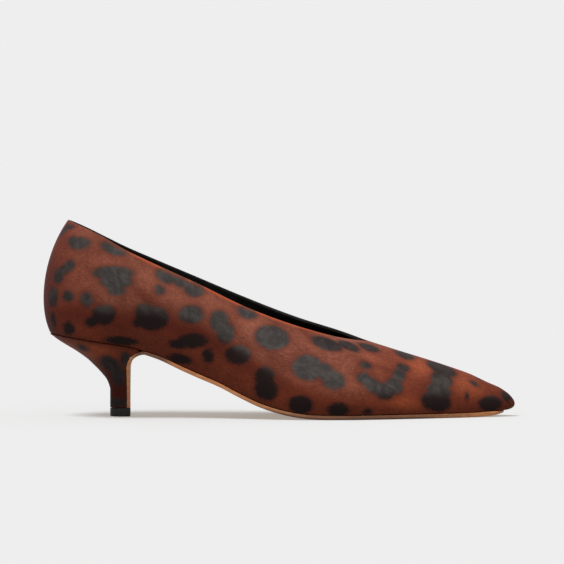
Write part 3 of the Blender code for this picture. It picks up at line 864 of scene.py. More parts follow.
# The spots of the medial side, from the back to the toe; they don't show in the photo and are free
MEDIAL_PATCHES = tuple(Patch(*row) for row in (
    (1.5, 0.83, 3.4, 5.5, 0), (1, 0.50, 4.6, 4.2, 20), (4, 0.31, 3.6, 4.8, -15), (1, 0.13, 4.4, 3, 0),
    (10, 0.90, 4.5, 3, 30), (9, 0.62, 3.5, 5, 0), (17, 0.30, 5.5, 4, -20), (24, 0.76, 6.5, 4, 15),
    (30, 0.70, 4, 3, -40), (33, 0.42, 4.5, 5.5, 10), (31, 0.10, 6, 3, 5), (42, 0.88, 6.5, 2.8, 25),
    (48, 0.58, 7, 4.5, -15), (54, 0.52, 3.5, 4.5, 20), (49, 0.22, 5, 4, 0), (64, 0.80, 5, 3.5, 25),
    (68, 0.36, 4.5, 6.5, -10), (80, 0.64, 8, 4, 20), (86, 0.70, 4, 3, -30), (83, 0.16, 6, 4.5, 0),
    (97, 0.42, 5, 5.5, 15), (99, 0.88, 5.5, 2.8, 20), (112, 0.66, 6.5, 5.5, -10), (113, 0.20, 4.5, 5, 20),
    (128, 0.44, 7, 5, 5), (134, 0.50, 4, 3.5, 40), (130, 0.86, 7, 3, 12), (142, 0.14, 5.5, 3.5, 0),
    (151, 0.64, 7, 5.5, -15), (157, 0.36, 4, 5, 15), (166, 0.90, 5, 3, 0), (170, 0.60, 5, 4.5, 20),
    (173, 0.20, 6, 3.5, -10), (184, 0.74, 6.5, 5, 10), (190, 0.42, 4.5, 4, -25),
    (199, 0.62, 5.5, 3.5, 20), (203, 0.18, 6, 4, 0), (213, 0.50, 5, 3.5, -20), (222, 0.76, 5.5, 3.5, 15),
    (229, 0.34, 4.5, 3.5, 0), (238, 0.66, 4, 2.8, 20),
))

# Spots beside the ridge of the vamp, which only show from above
RIDGE_PATCHES = tuple(Patch(*row) for row in (
    (178, 0.96, 4.5, 3, 0), (196, 0.97, 3.5, 4, 30), (231, 0.97, 3.5, 2.6, 0),
))


@dataclass(frozen=True)
class SpotChart:
    """Ovals of other hair or of painted light, laid on the lasted surface.

    A blob lies where it shows from the side, and the sink says how much lower a point shows the further
    it is from the middle. An oval reaches no further off its own plane than the depth limit, in
    millimetres, and far from all ovals the depth is the value outside. On the lateral side the tilt is
    taken from the level where the X of the surface's normal is under side_on, elsewhere from the rows.
    """

    blobs: tuple[Blob, ...]
    patches: tuple[Patch, ...] = ()
    depth_limit: float = 9.0
    outside: float = -6.0
    sink: float = 0.052
    side_on: float = 0.75

    def centres(self, shell: LastedShell) -> list[tuple[int, int, float, float, float]]:
        """Where each oval lies in the shell's grid.

        Args:
            shell: The lasted surface.

        Returns:
            Column, row, half sizes in mm and tilt in degrees, for each oval.
        """
        lateral = shell.outer[:shell.back + 1]
        found = []
        seen_z = lateral[..., 2] - self.sink * abs(lateral[..., 1])
        for blob in self.blobs:
            gap = (lateral[..., 0] / MM - blob.x) ** 2 + (seen_z / MM - blob.z) ** 2
            column, row = np.unravel_index(np.argmin(gap), gap.shape)
            found.append((int(column), int(row), blob.long, blob.tall, blob.tilt))
        for patch in self.patches:
            row = int(round(patch.share * shell.rows))
            medial = shell.outer[shell.back:, row, 0] / MM
            column = shell.back + int(np.argmin(abs(medial - patch.x)))
            found.append((column, row, patch.long, patch.wide, -patch.tilt))
        return found

    def depth(self, points: np.ndarray, shell: LastedShell) -> np.ndarray:
        """How far inside a spot each point lies.

        Args:
            points: Any array of XYZ on or near the surface.
            shell: The lasted surface.

        Returns:
            Millimetres inside the nearest oval's outline, negative outside.
        """
        best = np.full(points.shape[:-1], self.outside)
        for column, row, long, wide, tilt in self.centres(shell):
            centre = shell.outer[column, row]
            normal = shell.normals[column, row]
            along = shell.outer[column - 1, row] - shell.outer[(column + 1) % shell.count, row]
            if column > shell.back:
                along = -along
            elif abs(normal[0]) < self.side_on:
                along = np.array((1.0, 0.0, 0.0))
            along = unit(along - normal * np.dot(along, normal))
            across = np.cross(along, normal) * (1.0 if column <= shell.back else -1.0)
            if across[2] < 0:
                across = -across
            turn = math.radians(tilt)
            first = along * math.cos(turn) + across * math.sin(turn)
            second = across * math.cos(turn) - along * math.sin(turn)
            offset = (points - centre) / MM
            radius = np.sqrt((offset @ first / long) ** 2 + (offset @ second / wide) ** 2)
            inside = (1.0 - radius) * math.sqrt(long * wide)
            inside = np.where(abs(offset @ normal) > self.depth_limit, self.outside, inside)
            best = np.maximum(best, inside)
        return np.maximum(best, self.outside)


def crease_shade(gap: np.ndarray, width: float = 0.0013, depth: float = 0.66) -> np.ndarray:
    """How much painted shade darkens the hair beside the joint of upper and heel, at a distance from it in
    metres.
    """
    return depth * np.exp(-(gap / width) ** 2)


@dataclass(frozen=True)
class HairShade:
    """How painted shade darkens the hair in a band above the sole, at the back and beside the seat, and how
    much painted sheen greys the rust hair and the dark spots above the band.

    The tables run along the shoe, in millimetres: the band's height above the feather line, and how
    dark its painted shade is there. The reach is how far the band fades up and down, and the step above
    the band reads the height over its middle, both in millimetres. The other steps run along the shoe,
    in metres.
    """

    along: tuple[float, ...] = (6, 20, 33, 57, 83, 110, 136, 162, 189, 215, 240)
    height: tuple[float, ...] = (12.0, 14.0, 12.0, 17.0, 21.0, 17.0, 10.0, 4.0, 6.5, 6.0, 4.0)
    depth: tuple[float, ...] = (0.85, 0.70, 0.55, 0.55, 0.80, 0.65, 0.35, 0.05, 0.05, 0.30, 0.25)
    reach: float = 6.5
    above_band: Step = Step(1.0, 10.0)
    # Painted shade at the back and beside the seat; painted sheen fades at the toe and at the back
    back_dusk: Step = Step(0.0, 0.024, 1.0, 0.0)
    seat_dusk: Step = Step(0.046, 0.056, 1.0, 0.0)
    toe_sheen: Step = Step(0.155, 0.195, 1.0, 0.20)
    back_sheen: Step = Step(0.006, 0.042, 0.60, 1.0)
    back_ash: Step = Step(0.006, 0.042, 0.25, 1.0)

    def above(self, x: np.ndarray, height: np.ndarray) -> np.ndarray:
        """Millimetres above the middle of the band, for places along the shoe and heights in metres."""
        return height / MM - np.interp(x / MM, self.along, self.height)

    def dusk(self, x: np.ndarray, height: np.ndarray) -> np.ndarray:
        """How much painted shade darkens the hair.

        Args:
            x: Places along the shoe.
            height: Heights above the feather line.

        Returns:
            Values from 0 to 1.
        """
        band = np.exp(-(self.above(x, height) / self.reach) ** 2)
        band = np.maximum(band * np.interp(x / MM, self.along, self.depth), self.back_dusk.at(x))
        return np.maximum(band, crease_shade(height) * self.seat_dusk.at(x))

    def painted_sheen(self, x: np.ndarray, height: np.ndarray) -> np.ndarray:
        """How much painted sheen greys the rust hair, from 0 to 1: less so at the toe and at the back."""
        return self.above_band.at(self.above(x, height)) * self.toe_sheen.at(x) * self.back_sheen.at(x)

    def ash(self, x: np.ndarray, height: np.ndarray) -> np.ndarray:
        """How much painted sheen greys the dark spots, from 0 to 1: less so at the back."""
        return self.above_band.at(self.above(x, height)) * self.back_ash.at(x)


@dataclass
class UpperSkin:
    """The upper's haired leather, from the feather line up to the folded collar, and its lining.

    The tuck draws the lower edge in to the sole, and the roll is the angle by which the hair wraps round
    the collar. Spots stop a bare edge short of the collar, in millimetres. The three pale steps say how
    strong the painted highlight along the fold is there: not at all at the back, and less at the throat
    and on spots.
    """

    shell: LastedShell
    spots: SpotChart
    # Ovals of painted light
    lights: SpotChart
    shade: HairShade
    shift: Vector
    tuck_depth: float = 0.0004
    tuck_height: float = 0.0009
    roll_steps: int = 7
    lateral_roll: Step = Step(0.034, 0.048, 0.60 * math.pi, 0.35 * math.pi)
    medial_roll: float = 0.12 * math.pi
    over_to_medial: Step = Step(-0.002, 0.006)
    roll_lift: float = 0.80
    lining_step: float = 0.00005
    lining_overlap: float = 0.05 * math.pi
    sharp: float = 80.0
    bare_edge: float = 1.2
    edge_fade: float = 1.5
    far: float = 50.0
    pale_sides: Step = Step(0.030, 0.060)
    pale_throat: Step = Step(0.146, 0.158, 1.0, 0.25)
    pale_spots: Step = Step(-1.5, 1.5, 1.0, 0.35)
    # Less painted sheen on spots where the surface faces upwards
    upward_ash: Step = Step(0.40, 0.80, 1.0, 0.25)

    def tucked(self) -> np.ndarray:
        """The outer surface with its lower edge drawn in to the sole."""
        rises = self.shell.rises
        up = np.concatenate([np.zeros((self.shell.count, 1)), np.cumsum(rises, axis=1)], axis=1)
        share = np.clip(1 - up / self.tuck_height, 0.0, 1.0) ** 2
        return self.shell.outer - self.shell.normals * (share * self.tuck_depth)[..., None]

    def cover(self, material: bpy.types.Material) -> bpy.types.Object:
        """Build the haired leather.

        Args:
            material: Its finish.

        Returns:
            The piece.
        """
        shell = self.shell
        outer = self.tucked()
        values = {"hide": shell.hide_place, **self.tones(outer)}
        draft = MeshDraft("upper_hair", self.shift)
        draft.add_grid(outer, closed=True, **values)
        turns = self.turns(0.0, self.roll_ends())
        roll = shell.collar_roll(turns, shell.wall / 2, self.roll_lift)
        roll[:, 0] = shell.outer[shell.collar, -1]
        rolled = {
            name: np.repeat(value[shell.collar, -1][:, None], self.roll_steps + 1, axis=1)
            for name, value in values.items()
        }
        rolled["hide"][..., 1] -= turns * shell.wall / 2 / MM
        draft.add_grid(roll, closed=True, **rolled)
        return draft.build(material, self.sharp)

    def tones(self, points: np.ndarray) -> dict[str, np.ndarray]:
        """What the hair's finish reads.

        Args:
            points: Columns by rows by XYZ.

        Returns:
            For each point, where the hair is spotted, and how much painted highlight along the fold, painted
            light, painted shade, painted sheen on the rust and painted sheen on the spots it gets.
        """
        x = points[..., 0]
        height = points[..., 2] - self.shell.outer[:, :1, 2]
        spot = self.spots.depth(points, self.shell)
        pale = self.pale_sides.at(x) * self.pale_throat.at(x) * self.pale_spots.at(spot)
        from_edge = np.where(self.shell.is_vamp[:, None], self.far, abs(self.shell.hide_place[..., 1]))
        return {
            "spot": np.minimum(spot, from_edge - self.bare_edge),
            # Painted highlight on the fold, painted light, painted shade, and painted sheen on rust and spots
            "fold_highlight": pale * np.exp(-from_edge / self.edge_fade),
            "light": self.lights.depth(points, self.shell),
            "dusk": self.shade.dusk(x, height),
            "painted_sheen": self.shade.painted_sheen(x, height),
            "ash": self.shade.ash(x, height) * self.upward_ash.at(self.shell.normals[..., 2]),
        }

    def roll_ends(self) -> np.ndarray:
        """How far the hair wraps round the collar, for each of its columns: most behind, least medially."""
        edge = self.shell.outer[self.shell.collar, -1]
        return mix(self.lateral_roll.at(edge[:, 0]), self.medial_roll, self.over_to_medial.at(edge[:, 1]))

    def turns(self, start: float, ends: np.ndarray) -> np.ndarray:
        """Angles round the collar's roll, from one start to each column's end."""
        return np.linspace(np.full(len(ends), start), ends, self.roll_steps + 1, axis=1)

    def lining(self, material: bpy.types.Material) -> bpy.types.Object:
        """Build the lining, from inside the folded collar down to the sock.

        Args:
            material: Its finish.

        Returns:
            The piece.
        """
        shell = self.shell
        turns = self.turns(math.pi, self.roll_ends() - self.lining_overlap)
        roll = shell.collar_roll(turns, shell.wall / 2 - self.lining_step, self.roll_lift)
        roll[:, 0] = shell.inner[shell.collar, -1]
        draft = MeshDraft("upper_lining", self.shift)
        draft.add_grid(shell.inner, closed=True, flip=True)
        draft.add_grid(roll, closed=True, flip=True)
        return draft.build(material, self.sharp)


@dataclass
class InsoleSock:
    """The black sock on which the foot rests, with a soft rounded edge."""

    shell: LastedShell
    shift: Vector
    base: float = 0.0001
    thickness: float = 0.0020
    gap: float = 0.0003
    across_steps: int = 20
    dish: float = 0.0003
    edge_round: float = 0.0006
    round_steps: int = 4

    def rim(self, height: float, inset: float) -> np.ndarray:
        """A ring just inside the lining.

        Args:
            height: Height of the ring above the upper's lower edge.
            inset: How far in from the lining the ring runs.

        Returns:
            Points by XYZ.
        """
        inner = self.shell.inner
        level = self.shell.outer[:, 0, 2] + height
        rows = np.maximum(np.argmax(inner[..., 2] >= level[:, None], axis=1), 1)
        column = np.arange(self.shell.count)
        low, high = inner[column, rows - 1], inner[column, rows]
        share = (level - low[:, 2]) / (high[:, 2] - low[:, 2])
        ring = mix(low, high, np.clip(share, 0.0, 1.0)[:, None])
        ring[:, 2] = level
        return drawn_in(ring, inset)

    def sheet(self, ring: np.ndarray, dish: float) -> np.ndarray:
        """The surface inside a ring.

        Args:
            ring: Points by XYZ, in the order of the shell's columns.
            dish: How far its middle lies below its edge.

        Returns:
            A grid from the lateral edge to the medial one, from the tip to the back.
        """
        back = self.shell.back
        lateral = ring[:back + 1]
        medial = np.concatenate([ring[:1], ring[:back - 1:-1]])
        across = np.linspace(0.0, 1.0, self.across_steps + 1)
        grid = mix(lateral[:, None], medial[:, None], across[None, :, None])
        grid[..., 2] -= dish * np.sqrt(np.sin(math.pi * across))
        return grid

    def build(self, material: bpy.types.Material) -> bpy.types.Object:
        """Build the sock.

        Args:
            material: Its finish.

        Returns:
            The piece.
        """
        rings = [self.rim(self.base, self.gap + self.edge_round)]
        for inset, drop in quarter_round(self.round_steps) * self.edge_round:
            rings.append(self.rim(self.thickness - drop, self.gap + inset))
        draft = MeshDraft("insole_sock", self.shift)
        draft.add_grid(np.stack(rings, axis=1), closed=True)
        draft.add_grid(self.sheet(rings[-1], self.dish))
        draft.add_grid(self.sheet(rings[0], 0.0), flip=True)
        return draft.build(material)


@dataclass
class CoveredHeel:
    """The heel block in its haired cover, from its slender stem up to the seat and its lip.

    Its hair comes from another place on the hide, which the hide start gives in millimetres. On the
    medial side its spots are moved along the shoe by the medial shift, in millimetres.
    """

    last: Last
    shift: Vector
    stem_depth: float = 0.0089
    stem_width: float = 0.0094
    rim_radius: float = 0.0003
    rim_steps: int = 5
    level_steps: int = 84
    body_steps: int = 14
    round_steps: int = 30
    front_steps: int = 12
    hide_start: float = 200.0
    medial_shift: float = -1.5
    outside: float = -6.0
    # Painted shade down the stem, and painted sheen on the heel's spots
    stem_dusk: Step = Step(0.020, 0.033, 1.0, 0.0)
    ash: float = 0.32

    def columns(self) -> Columns:
        """Where the seat's outline is taken, from its lip to the back."""
        return Columns(
            toe=np.zeros(0),
            body=np.linspace(self.last.lip_x, self.last.heel_round, self.body_steps + 1),
            heel=np.linspace(0.0, math.pi / 2, self.round_steps + 1)[1:],
        )

    def front_x(self, z: float) -> float:
        """How far forward the heel reaches: up the stem, then out to its lip.

        Args:
            z: Height above the floor.

        Returns:
            The place along the shoe.
        """
        last = self.last
        climb = z - last.fillet_z
        if climb <= 0:
            return last.breast_x
        if climb >= last.lip_radius * math.sin(last.lip_angle):
            return last.lip_x
        return last.fillet_x - math.sqrt(last.lip_radius ** 2 - climb ** 2)

    def width_share(self, share: np.ndarray | float) -> np.ndarray | float:
        """The heel's width at a level, as a share of the seat's."""
        seat_width = self.last.seat_width
        return mix(self.stem_width, seat_width, self.last.level_curves[1](share)) / seat_width

    def outline(self, share: float, inset: float = 0.0) -> np.ndarray:
        """The heel's outline at one level.

        Args:
            share: The level, from 0 at the top piece to 1 at the seat.
            inset: How far the outline is drawn in.

        Returns:
            A closed ring of points by XYZ, from the lateral corner round the back and across the front.
        """
        last = self.last
        front = self.front_x(mix(last.heel_base_z, last.lip_z, share))
        seat_back = last.heel_round - last.heel_round * HEEL_REACH[Rail.EDGE] - last.sole_ledge
        back = mix(last.breast_x - self.stem_depth, seat_back, float(last.level_curves[0](share)))
        stretch = (front - back) / (last.lip_x - seat_back)
        lateral, medial = last.sole_edges(self.columns())
        seat = np.concatenate([lateral, medial[-2::-1]])
        x = front - (last.lip_x - seat[:, 0]) * stretch
        z = mix(last.heel_base_z, last.edge_height(seat[:, 0]) - last.seam_gap, share)
        ring = np.column_stack([x, seat[:, 1] * self.width_share(share), z])
        across = np.linspace(0.0, 1.0, self.front_steps + 1)[1:-1, None]
        ring = np.concatenate([ring, mix(ring[-1], ring[0], across)])
        return drawn_in(ring, inset)

    def build(self, material: bpy.types.Material) -> bpy.types.Object:
        """Build the covered heel.

        Args:
            material: Its finish.

        Returns:
            The piece.
        """
        top = 1 - self.rim_radius / (self.last.heel_height - self.last.heel_base_z)
        levels = [self.outline(share) for share in np.linspace(0.0, top, self.level_steps)]
        for inset, drop in quarter_round(self.rim_steps)[1:]:
            levels.append(self.outline(mix(1.0, top, drop), self.rim_radius * inset))
        grid = np.stack(levels, axis=1)
        widest = levels[self.level_steps - 1]
        around = np.cumsum(np.linalg.norm(np.diff(widest, axis=0, append=widest[:1]), axis=1))
        z = grid[..., 2]
        hide = np.zeros_like(grid)
        hide[..., 0] = z / MM
        hide[..., 1] = (around / MM)[:, None] + self.hide_start
        # Painted shade down the stem and beside the seat's joint, painted light under the seat, painted sheen
        # on the spots
        dusk = np.maximum(self.stem_dusk.at(z), crease_shade(z[:, -1:] - z))
        spot, light = self.inside(HEEL_BLOBS, grid), self.inside(HEEL_PAINTED_LIGHT, grid)
        draft = MeshDraft("heel_cover", self.shift)
        draft.add_grid(grid, closed=True, hide=hide, spot=spot, light=light, dusk=dusk,
                       ash=np.full(z.shape, self.ash))
        draft.add_cap(levels[0], flip=True)
        draft.add_cap(levels[-1])
        return draft.build(material)

    def inside(self, blobs: tuple[Blob, ...], grid: np.ndarray) -> np.ndarray:
        """How far inside an oval each point of the heel lies.

        Args:
            blobs: The ovals.
            grid: Points by XYZ.

        Returns:
            Millimetres inside the nearest oval's outline, negative outside.
        """
        best = np.full(grid.shape[:-1], self.outside)
        shift = np.where(grid[..., 1] < 0, 0.0, self.medial_shift)
        for blob in blobs:
            turn = math.radians(blob.tilt)
            x = grid[..., 0] / MM - blob.x - shift
            z = grid[..., 2] / MM - blob.z
            first = (x * math.cos(turn) + z * math.sin(turn)) / blob.long
            second = (z * math.cos(turn) - x * math.sin(turn)) / blob.tall
            best = np.maximum(best, (1 - np.hypot(first, second)) * math.sqrt(blob.long * blob.tall))
        return best


@dataclass
class TopPiece:
    """The black top piece under the heel and the flap, with softly worn edges."""

    heel: CoveredHeel
    low_round: float = 0.0005
    high_round: float = 0.00025
    round_steps: int = 4

    def ring(self, z: float, inset: float) -> np.ndarray:
        """The outline at one height.

        Args:
            z: Height above the floor.
            inset: How far the outline is drawn in.

        Returns:
            A closed ring of points by XYZ.
        """
        ring = self.heel.outline(0.0, inset)
        back = self.heel.outline(0.0)[:, 0].min()
        stretch = (self.heel.last.flap_x - back) / (self.heel.last.breast_x - back)
        ring[:, 0] = back + (ring[:, 0] - back) * stretch
        ring[:, 2] = z
        return ring

    def build(self, material: bpy.types.Material) -> bpy.types.Object:
        """Build the top piece.

        Args:
            material: Its finish.

        Returns:
            The piece.
        """
        height = self.heel.last.lift_height
        turns = quarter_round(self.round_steps)
        low = [self.ring(drop, inset) for inset, drop in turns[::-1] * self.low_round]
        high = [self.ring(height - drop, inset) for inset, drop in turns * self.high_round]
        rings = low + high
        draft = MeshDraft("top_piece", self.heel.shift)
        draft.add_grid(np.stack(rings, axis=1), closed=True)
        draft.add_cap(rings[0], flip=True)
        draft.add_cap(rings[-1])
        return draft.build(material)


class SoleStations(NamedTuple):
    """Places along the sole: middle points on the foot and ground sides, edges in Y, crown underneath."""

    foot: np.ndarray
    ground: np.ndarray
    lateral: np.ndarray
    medial: np.ndarray
    crown: np.ndarray


@dataclass
class LeatherSole:
    """The thin sole, from the tip to the waist, and its flap down the front of the heel.

    The shade tables run along the shoe, in millimetres: how much painted shade darkens the leather there,
    and how far painted shadow creeps up its edge from the ground.
    """

    last: Last
    heel: CoveredHeel
    shift: Vector
    waist_crown: float = 0.0002
    foot_round: float = 0.0003
    ground_round: float = 0.0005
    round_steps: int = 4
    toe_steps: int = 26
    body_steps: int = 230
    fillet_steps: int = 18
    flap_steps: int = 24
    across_steps: int = 24
    edge_points: int = 14
    sharp: float = 60.0
    # Painted shade along the sole, and painted shadow low on its edge
    dusk_x: tuple[float, ...] = (48, 51, 64, 70, 95, 122, 134, 158, 180, 205, 221, 236)
    dusk_share: tuple[float, ...] = (0.0, 0.80, 0.80, 0.05, 0.05, 0.30, 0.60, 0.72, 0.62, 0.55, 0.35, 0.05)
    low_x: tuple[float, ...] = (100.0, 128.0, 200.0, 225.0)
    low_share: tuple[float, ...] = (0.0, 1.0, 1.0, 0.0)
    low_dusk: Step = Step(0.30, 0.62, 0.0, 0.92)

    def body_stations(self) -> SoleStations:
        """The sole from the tip to the start of its turn."""
        last = self.last
        body = np.linspace(last.toe_turn_x, last.fillet_x, self.body_steps + 1)[:-1]
        columns = Columns(toe=np.arange(self.toe_steps) / self.toe_steps, body=body, heel=np.zeros(0))
        lateral, medial = last.sole_edges(columns)
        x = lateral[:, 0]
        zero = np.zeros_like(x)
        share = np.clip((x - last.fillet_x) / (last.tread_start - last.fillet_x), 0.0, 1.0)
        return SoleStations(
            foot=np.column_stack([x, zero, last.edge_height(x) - last.seam_gap]),
            ground=np.column_stack([x, zero, last.sole_height(x)]),
            lateral=lateral[:, 1],
            medial=medial[:, 1],
            crown=self.waist_crown * np.sin(math.pi * share) ** 2,
        )

    def flap_side(self, radius: float, wall_x: float) -> np.ndarray:
        """One side of the flap's middle line.

        Args:
            radius: Radius of its turn.
            wall_x: How far forward it stands below the turn.

        Returns:
            Points by XYZ, round the turn and down to the top piece.
        """
        last = self.last
        turns = np.linspace(0.0, math.pi / 2, self.fillet_steps + 1)
        z = np.linspace(last.fillet_z, last.heel_base_z, self.flap_steps + 1)[1:]
        x = np.concatenate([last.fillet_x - radius * np.sin(turns), np.full(len(z), wall_x)])
        z = np.concatenate([last.fillet_z + radius * np.cos(turns), z])
        return np.column_stack([x, np.zeros_like(x), z])

    def flap_stations(self) -> SoleStations:
        """The turn into the flap, and the flap down to the top piece."""
        last = self.last
        foot = self.flap_side(last.lip_radius - last.seam_gap, last.breast_x + last.seam_gap)
        ground = self.flap_side(last.flap_fillet, last.flap_x)
        shares = np.clip((foot[:, 2] - last.heel_base_z) / (last.lip_z - last.heel_base_z), 0.0, 1.0)
        width = self.heel.width_share(shares)
        seat = Columns(toe=np.zeros(0), body=np.maximum(foot[:, 0], last.lip_x), heel=np.zeros(0))
        lateral, medial = last.sole_edges(seat)
        return SoleStations(foot, ground, lateral[:, 1] * width, medial[:, 1] * width, np.zeros(len(foot)))

    def edge_profile(self, thickness: float) -> tuple[np.ndarray, np.ndarray]:
        """The rounded edge, from the foot side to the ground side.

        Args:
            thickness: Thickness of the sole there.

        Returns:
            Insets from the edge, and depths below the foot side.
        """
        inset, drop = quarter_round(self.round_steps).T
        below = min(self.ground_round, thickness - self.foot_round)
        wall_points = self.edge_points - 2 * self.round_steps
        wall = np.linspace(self.foot_round, thickness - below, wall_points)[1:-1]
        insets = [self.foot_round * drop, 0 * wall, below * inset]
        depths = [self.foot_round * inset, wall, thickness - below * drop]
        return np.concatenate(insets), np.concatenate(depths)

    def section(self, foot: np.ndarray, ground: np.ndarray, lateral: float, medial: float,
                crown: float) -> np.ndarray:
        """The ring of points round the sole at one place.

        Args:
            foot: Middle of the foot side.
            ground: Middle of the ground side.
            lateral: Lateral edge in Y.
            medial: Medial edge in Y.
            crown: How far the ground side is hollowed at its edges.

        Returns:
            Points by XYZ: the foot side, the medial edge, the ground side and the lateral edge.
        """
        down = ground - foot
        thickness = float(np.linalg.norm(down))
        half = (medial - lateral) / 2
        inset, depth = self.edge_profile(thickness)
        rim = np.maximum(half - inset, 0.0)
        flat = np.linspace(-1.0, 1.0, self.across_steps + 1)
        foot_side = flat * max(half - self.foot_round, 0.0)
        ground_side = flat[::-1] * max(half - self.ground_round, 0.0)
        deep = np.concatenate([0 * flat, depth, 0 * flat + thickness, depth[::-1]])
        lift = np.concatenate([0 * flat, depth / thickness, flat ** 2, depth[::-1] / thickness])
        ring = foot + down / thickness * deep[:, None]
        ring[:, 1] += (medial + lateral) / 2 + np.concatenate([foot_side, rim, ground_side, -rim[::-1]])
        ring[:, 2] += crown * lift
        return ring

    def build(self, material: bpy.types.Material) -> bpy.types.Object:
        """Build the sole and its flap.

        Args:
            material: Its finish.

        Returns:
            The piece.
        """
        parts = (self.body_stations(), self.flap_stations())
        stations = SoleStations(*(np.concatenate(pair) for pair in zip(*parts)))
        grid = np.array([self.section(*station) for station in zip(*stations)])
        flat = self.across_steps + 1
        rim = np.ones(grid.shape[1])
        rim[:flat] = 0.0
        rim[-self.edge_points - flat:-self.edge_points] = 0.0
        x = grid[..., 0] / MM
        deep = np.linalg.norm((grid - stations.foot[:, None])[..., ::2], axis=-1)
        deep /= np.linalg.norm(stations.ground - stations.foot, axis=-1)[:, None]
        # Painted shadow on the lower part of the edge under the tread, and painted shade along the sole from
        # the tables
        low = self.low_dusk.at(deep) * np.interp(x, self.low_x, self.low_share)
        dusk = np.maximum(np.interp(x, self.dusk_x, self.dusk_share), low * rim)
        draft = MeshDraft("sole_leather", self.shift)
        rims = np.repeat(rim[:, None], len(grid), axis=1)
        draft.add_grid(np.swapaxes(grid, 0, 1), closed=True, rim=rims, dusk=dusk.T)
        draft.add_cap(grid[-1])
        return draft.build(material, self.sharp)


class Noise(NamedTuple):
    """A noise: how many grains lie in one unit, how many finer ones are added, how much it bends itself."""

    scale: float
    detail: float = 2.0
    twist: float = 0.0


class Operation(Enum):
    """What a math node does with its two values, by Blender's own name."""

    ADD = "ADD"
    MULTIPLY = "MULTIPLY"


class MixSocket(IntEnum):
    """Numbers of a mix node's sockets when it mixes colours."""

    SHARE = 0
    FIRST = 6
    SECOND = 7
    RESULT = 2


class Graph:
    """A material's nodes, drawn up step by step around one shader."""

    def __init__(self, name: str) -> None:
        """Start an empty material.

        Args:
            name: The material's name.
        """
        self.material = bpy.data.materials.new(name)
        self.material.use_nodes = True
        self.nodes = self.material.node_tree.nodes
        self.links = self.material.node_tree.links
        self.shader = self.nodes["Principled BSDF"]

    def feed(self, socket: Socket, value: object) -> None:
        """Link a socket into an input, or set the input to a plain value.

        Args:
            socket: The input.
            value: A socket, a number, a vector or a colour.
        """
        if isinstance(value, Socket):
            self.links.new(value, socket)
        elif socket.type == "RGBA":
            socket.default_value = (*value, 1.0)
        else:
            socket.default_value = value

    def node(self, kind: str, entries: dict[str | int, object], **settings: object) -> bpy.types.Node:
        """A new node.

        Args:
            kind: Blender's name of its kind.
            entries: What goes into its inputs, by their names or numbers.
            **settings: Its settings.

        Returns:
            The node.
        """
        node = self.nodes.new(kind)
        for name, setting in settings.items():
            setattr(node, name, setting)
        for key, value in entries.items():
            self.feed(node.inputs[key], value)
        return node

    def shade(self, **inputs: object) -> None:
        """Set inputs of the shader; an underscore stands for a space in an input's name."""
        for name, value in inputs.items():
            self.feed(self.shader.inputs[name.replace("_", " ")], value)

    def attribute(self, name: str, output: str = "Fac") -> Socket:
        """A value of the mesh at the point; the output Vector reads a vector."""
        return self.node("ShaderNodeAttribute", {}, attribute_name=name).outputs[output]

    def place(self) -> Socket:
        """The point's own place in the piece, in metres."""
        return self.node("ShaderNodeTexCoord", {}).outputs["Object"]

    def stretched(self, vector: Socket, scale: Triple) -> Socket:
        """A vector multiplied axis by axis."""
        entries = {0: vector, 1: scale}
        return self.node("ShaderNodeVectorMath", entries, operation=Operation.MULTIPLY.value).outputs[0]

    def noise(self, vector: Socket, noise: Noise) -> Socket:
        """Noise from 0 to 1, read at a vector."""
        entries = dict(zip(("Vector", "Scale", "Detail", "Distortion"), (vector, *noise)))
        return self.node("ShaderNodeTexNoise", entries).outputs[0]

    def math(self, operation: Operation, first: object, second: object) -> Socket:
        """What an operation makes of two values, each a socket or a number."""
        return self.node("ShaderNodeMath", {0: first, 1: second}, operation=operation.value).outputs[0]

    def add(self, first: object, second: object) -> Socket:
        """The sum of two values."""
        return self.math(Operation.ADD, first, second)

    def times(self, first: object, second: object) -> Socket:
        """The product of two values."""
        return self.math(Operation.MULTIPLY, first, second)

    def step(self, value: Socket, step: Step) -> Socket:
        """A smooth step of a value."""
        entries = dict(zip(("Value", "From Min", "From Max", "To Min", "To Max"), (value, *step)))
        return self.node("ShaderNodeMapRange", entries, interpolation_type="SMOOTHSTEP").outputs[0]

    def blend(self, share: object, first: object, second: object) -> Socket:
        """A mix of two sockets or colours, with the given share of the second."""
        entries = {MixSocket.SHARE: share, MixSocket.FIRST: first, MixSocket.SECOND: second}
        return self.node("ShaderNodeMix", entries, data_type="RGBA").outputs[MixSocket.RESULT]

    def relief(self, height: Socket, depth: float) -> None:
        """Give the surface a fine relief, from a height from 0 to 1 and how deep 1 is in metres."""
        bump = self.node("ShaderNodeBump", {"Strength": 1.0, "Distance": depth, "Height": height})
        self.feed(self.shader.inputs["Normal"], bump.outputs[0])


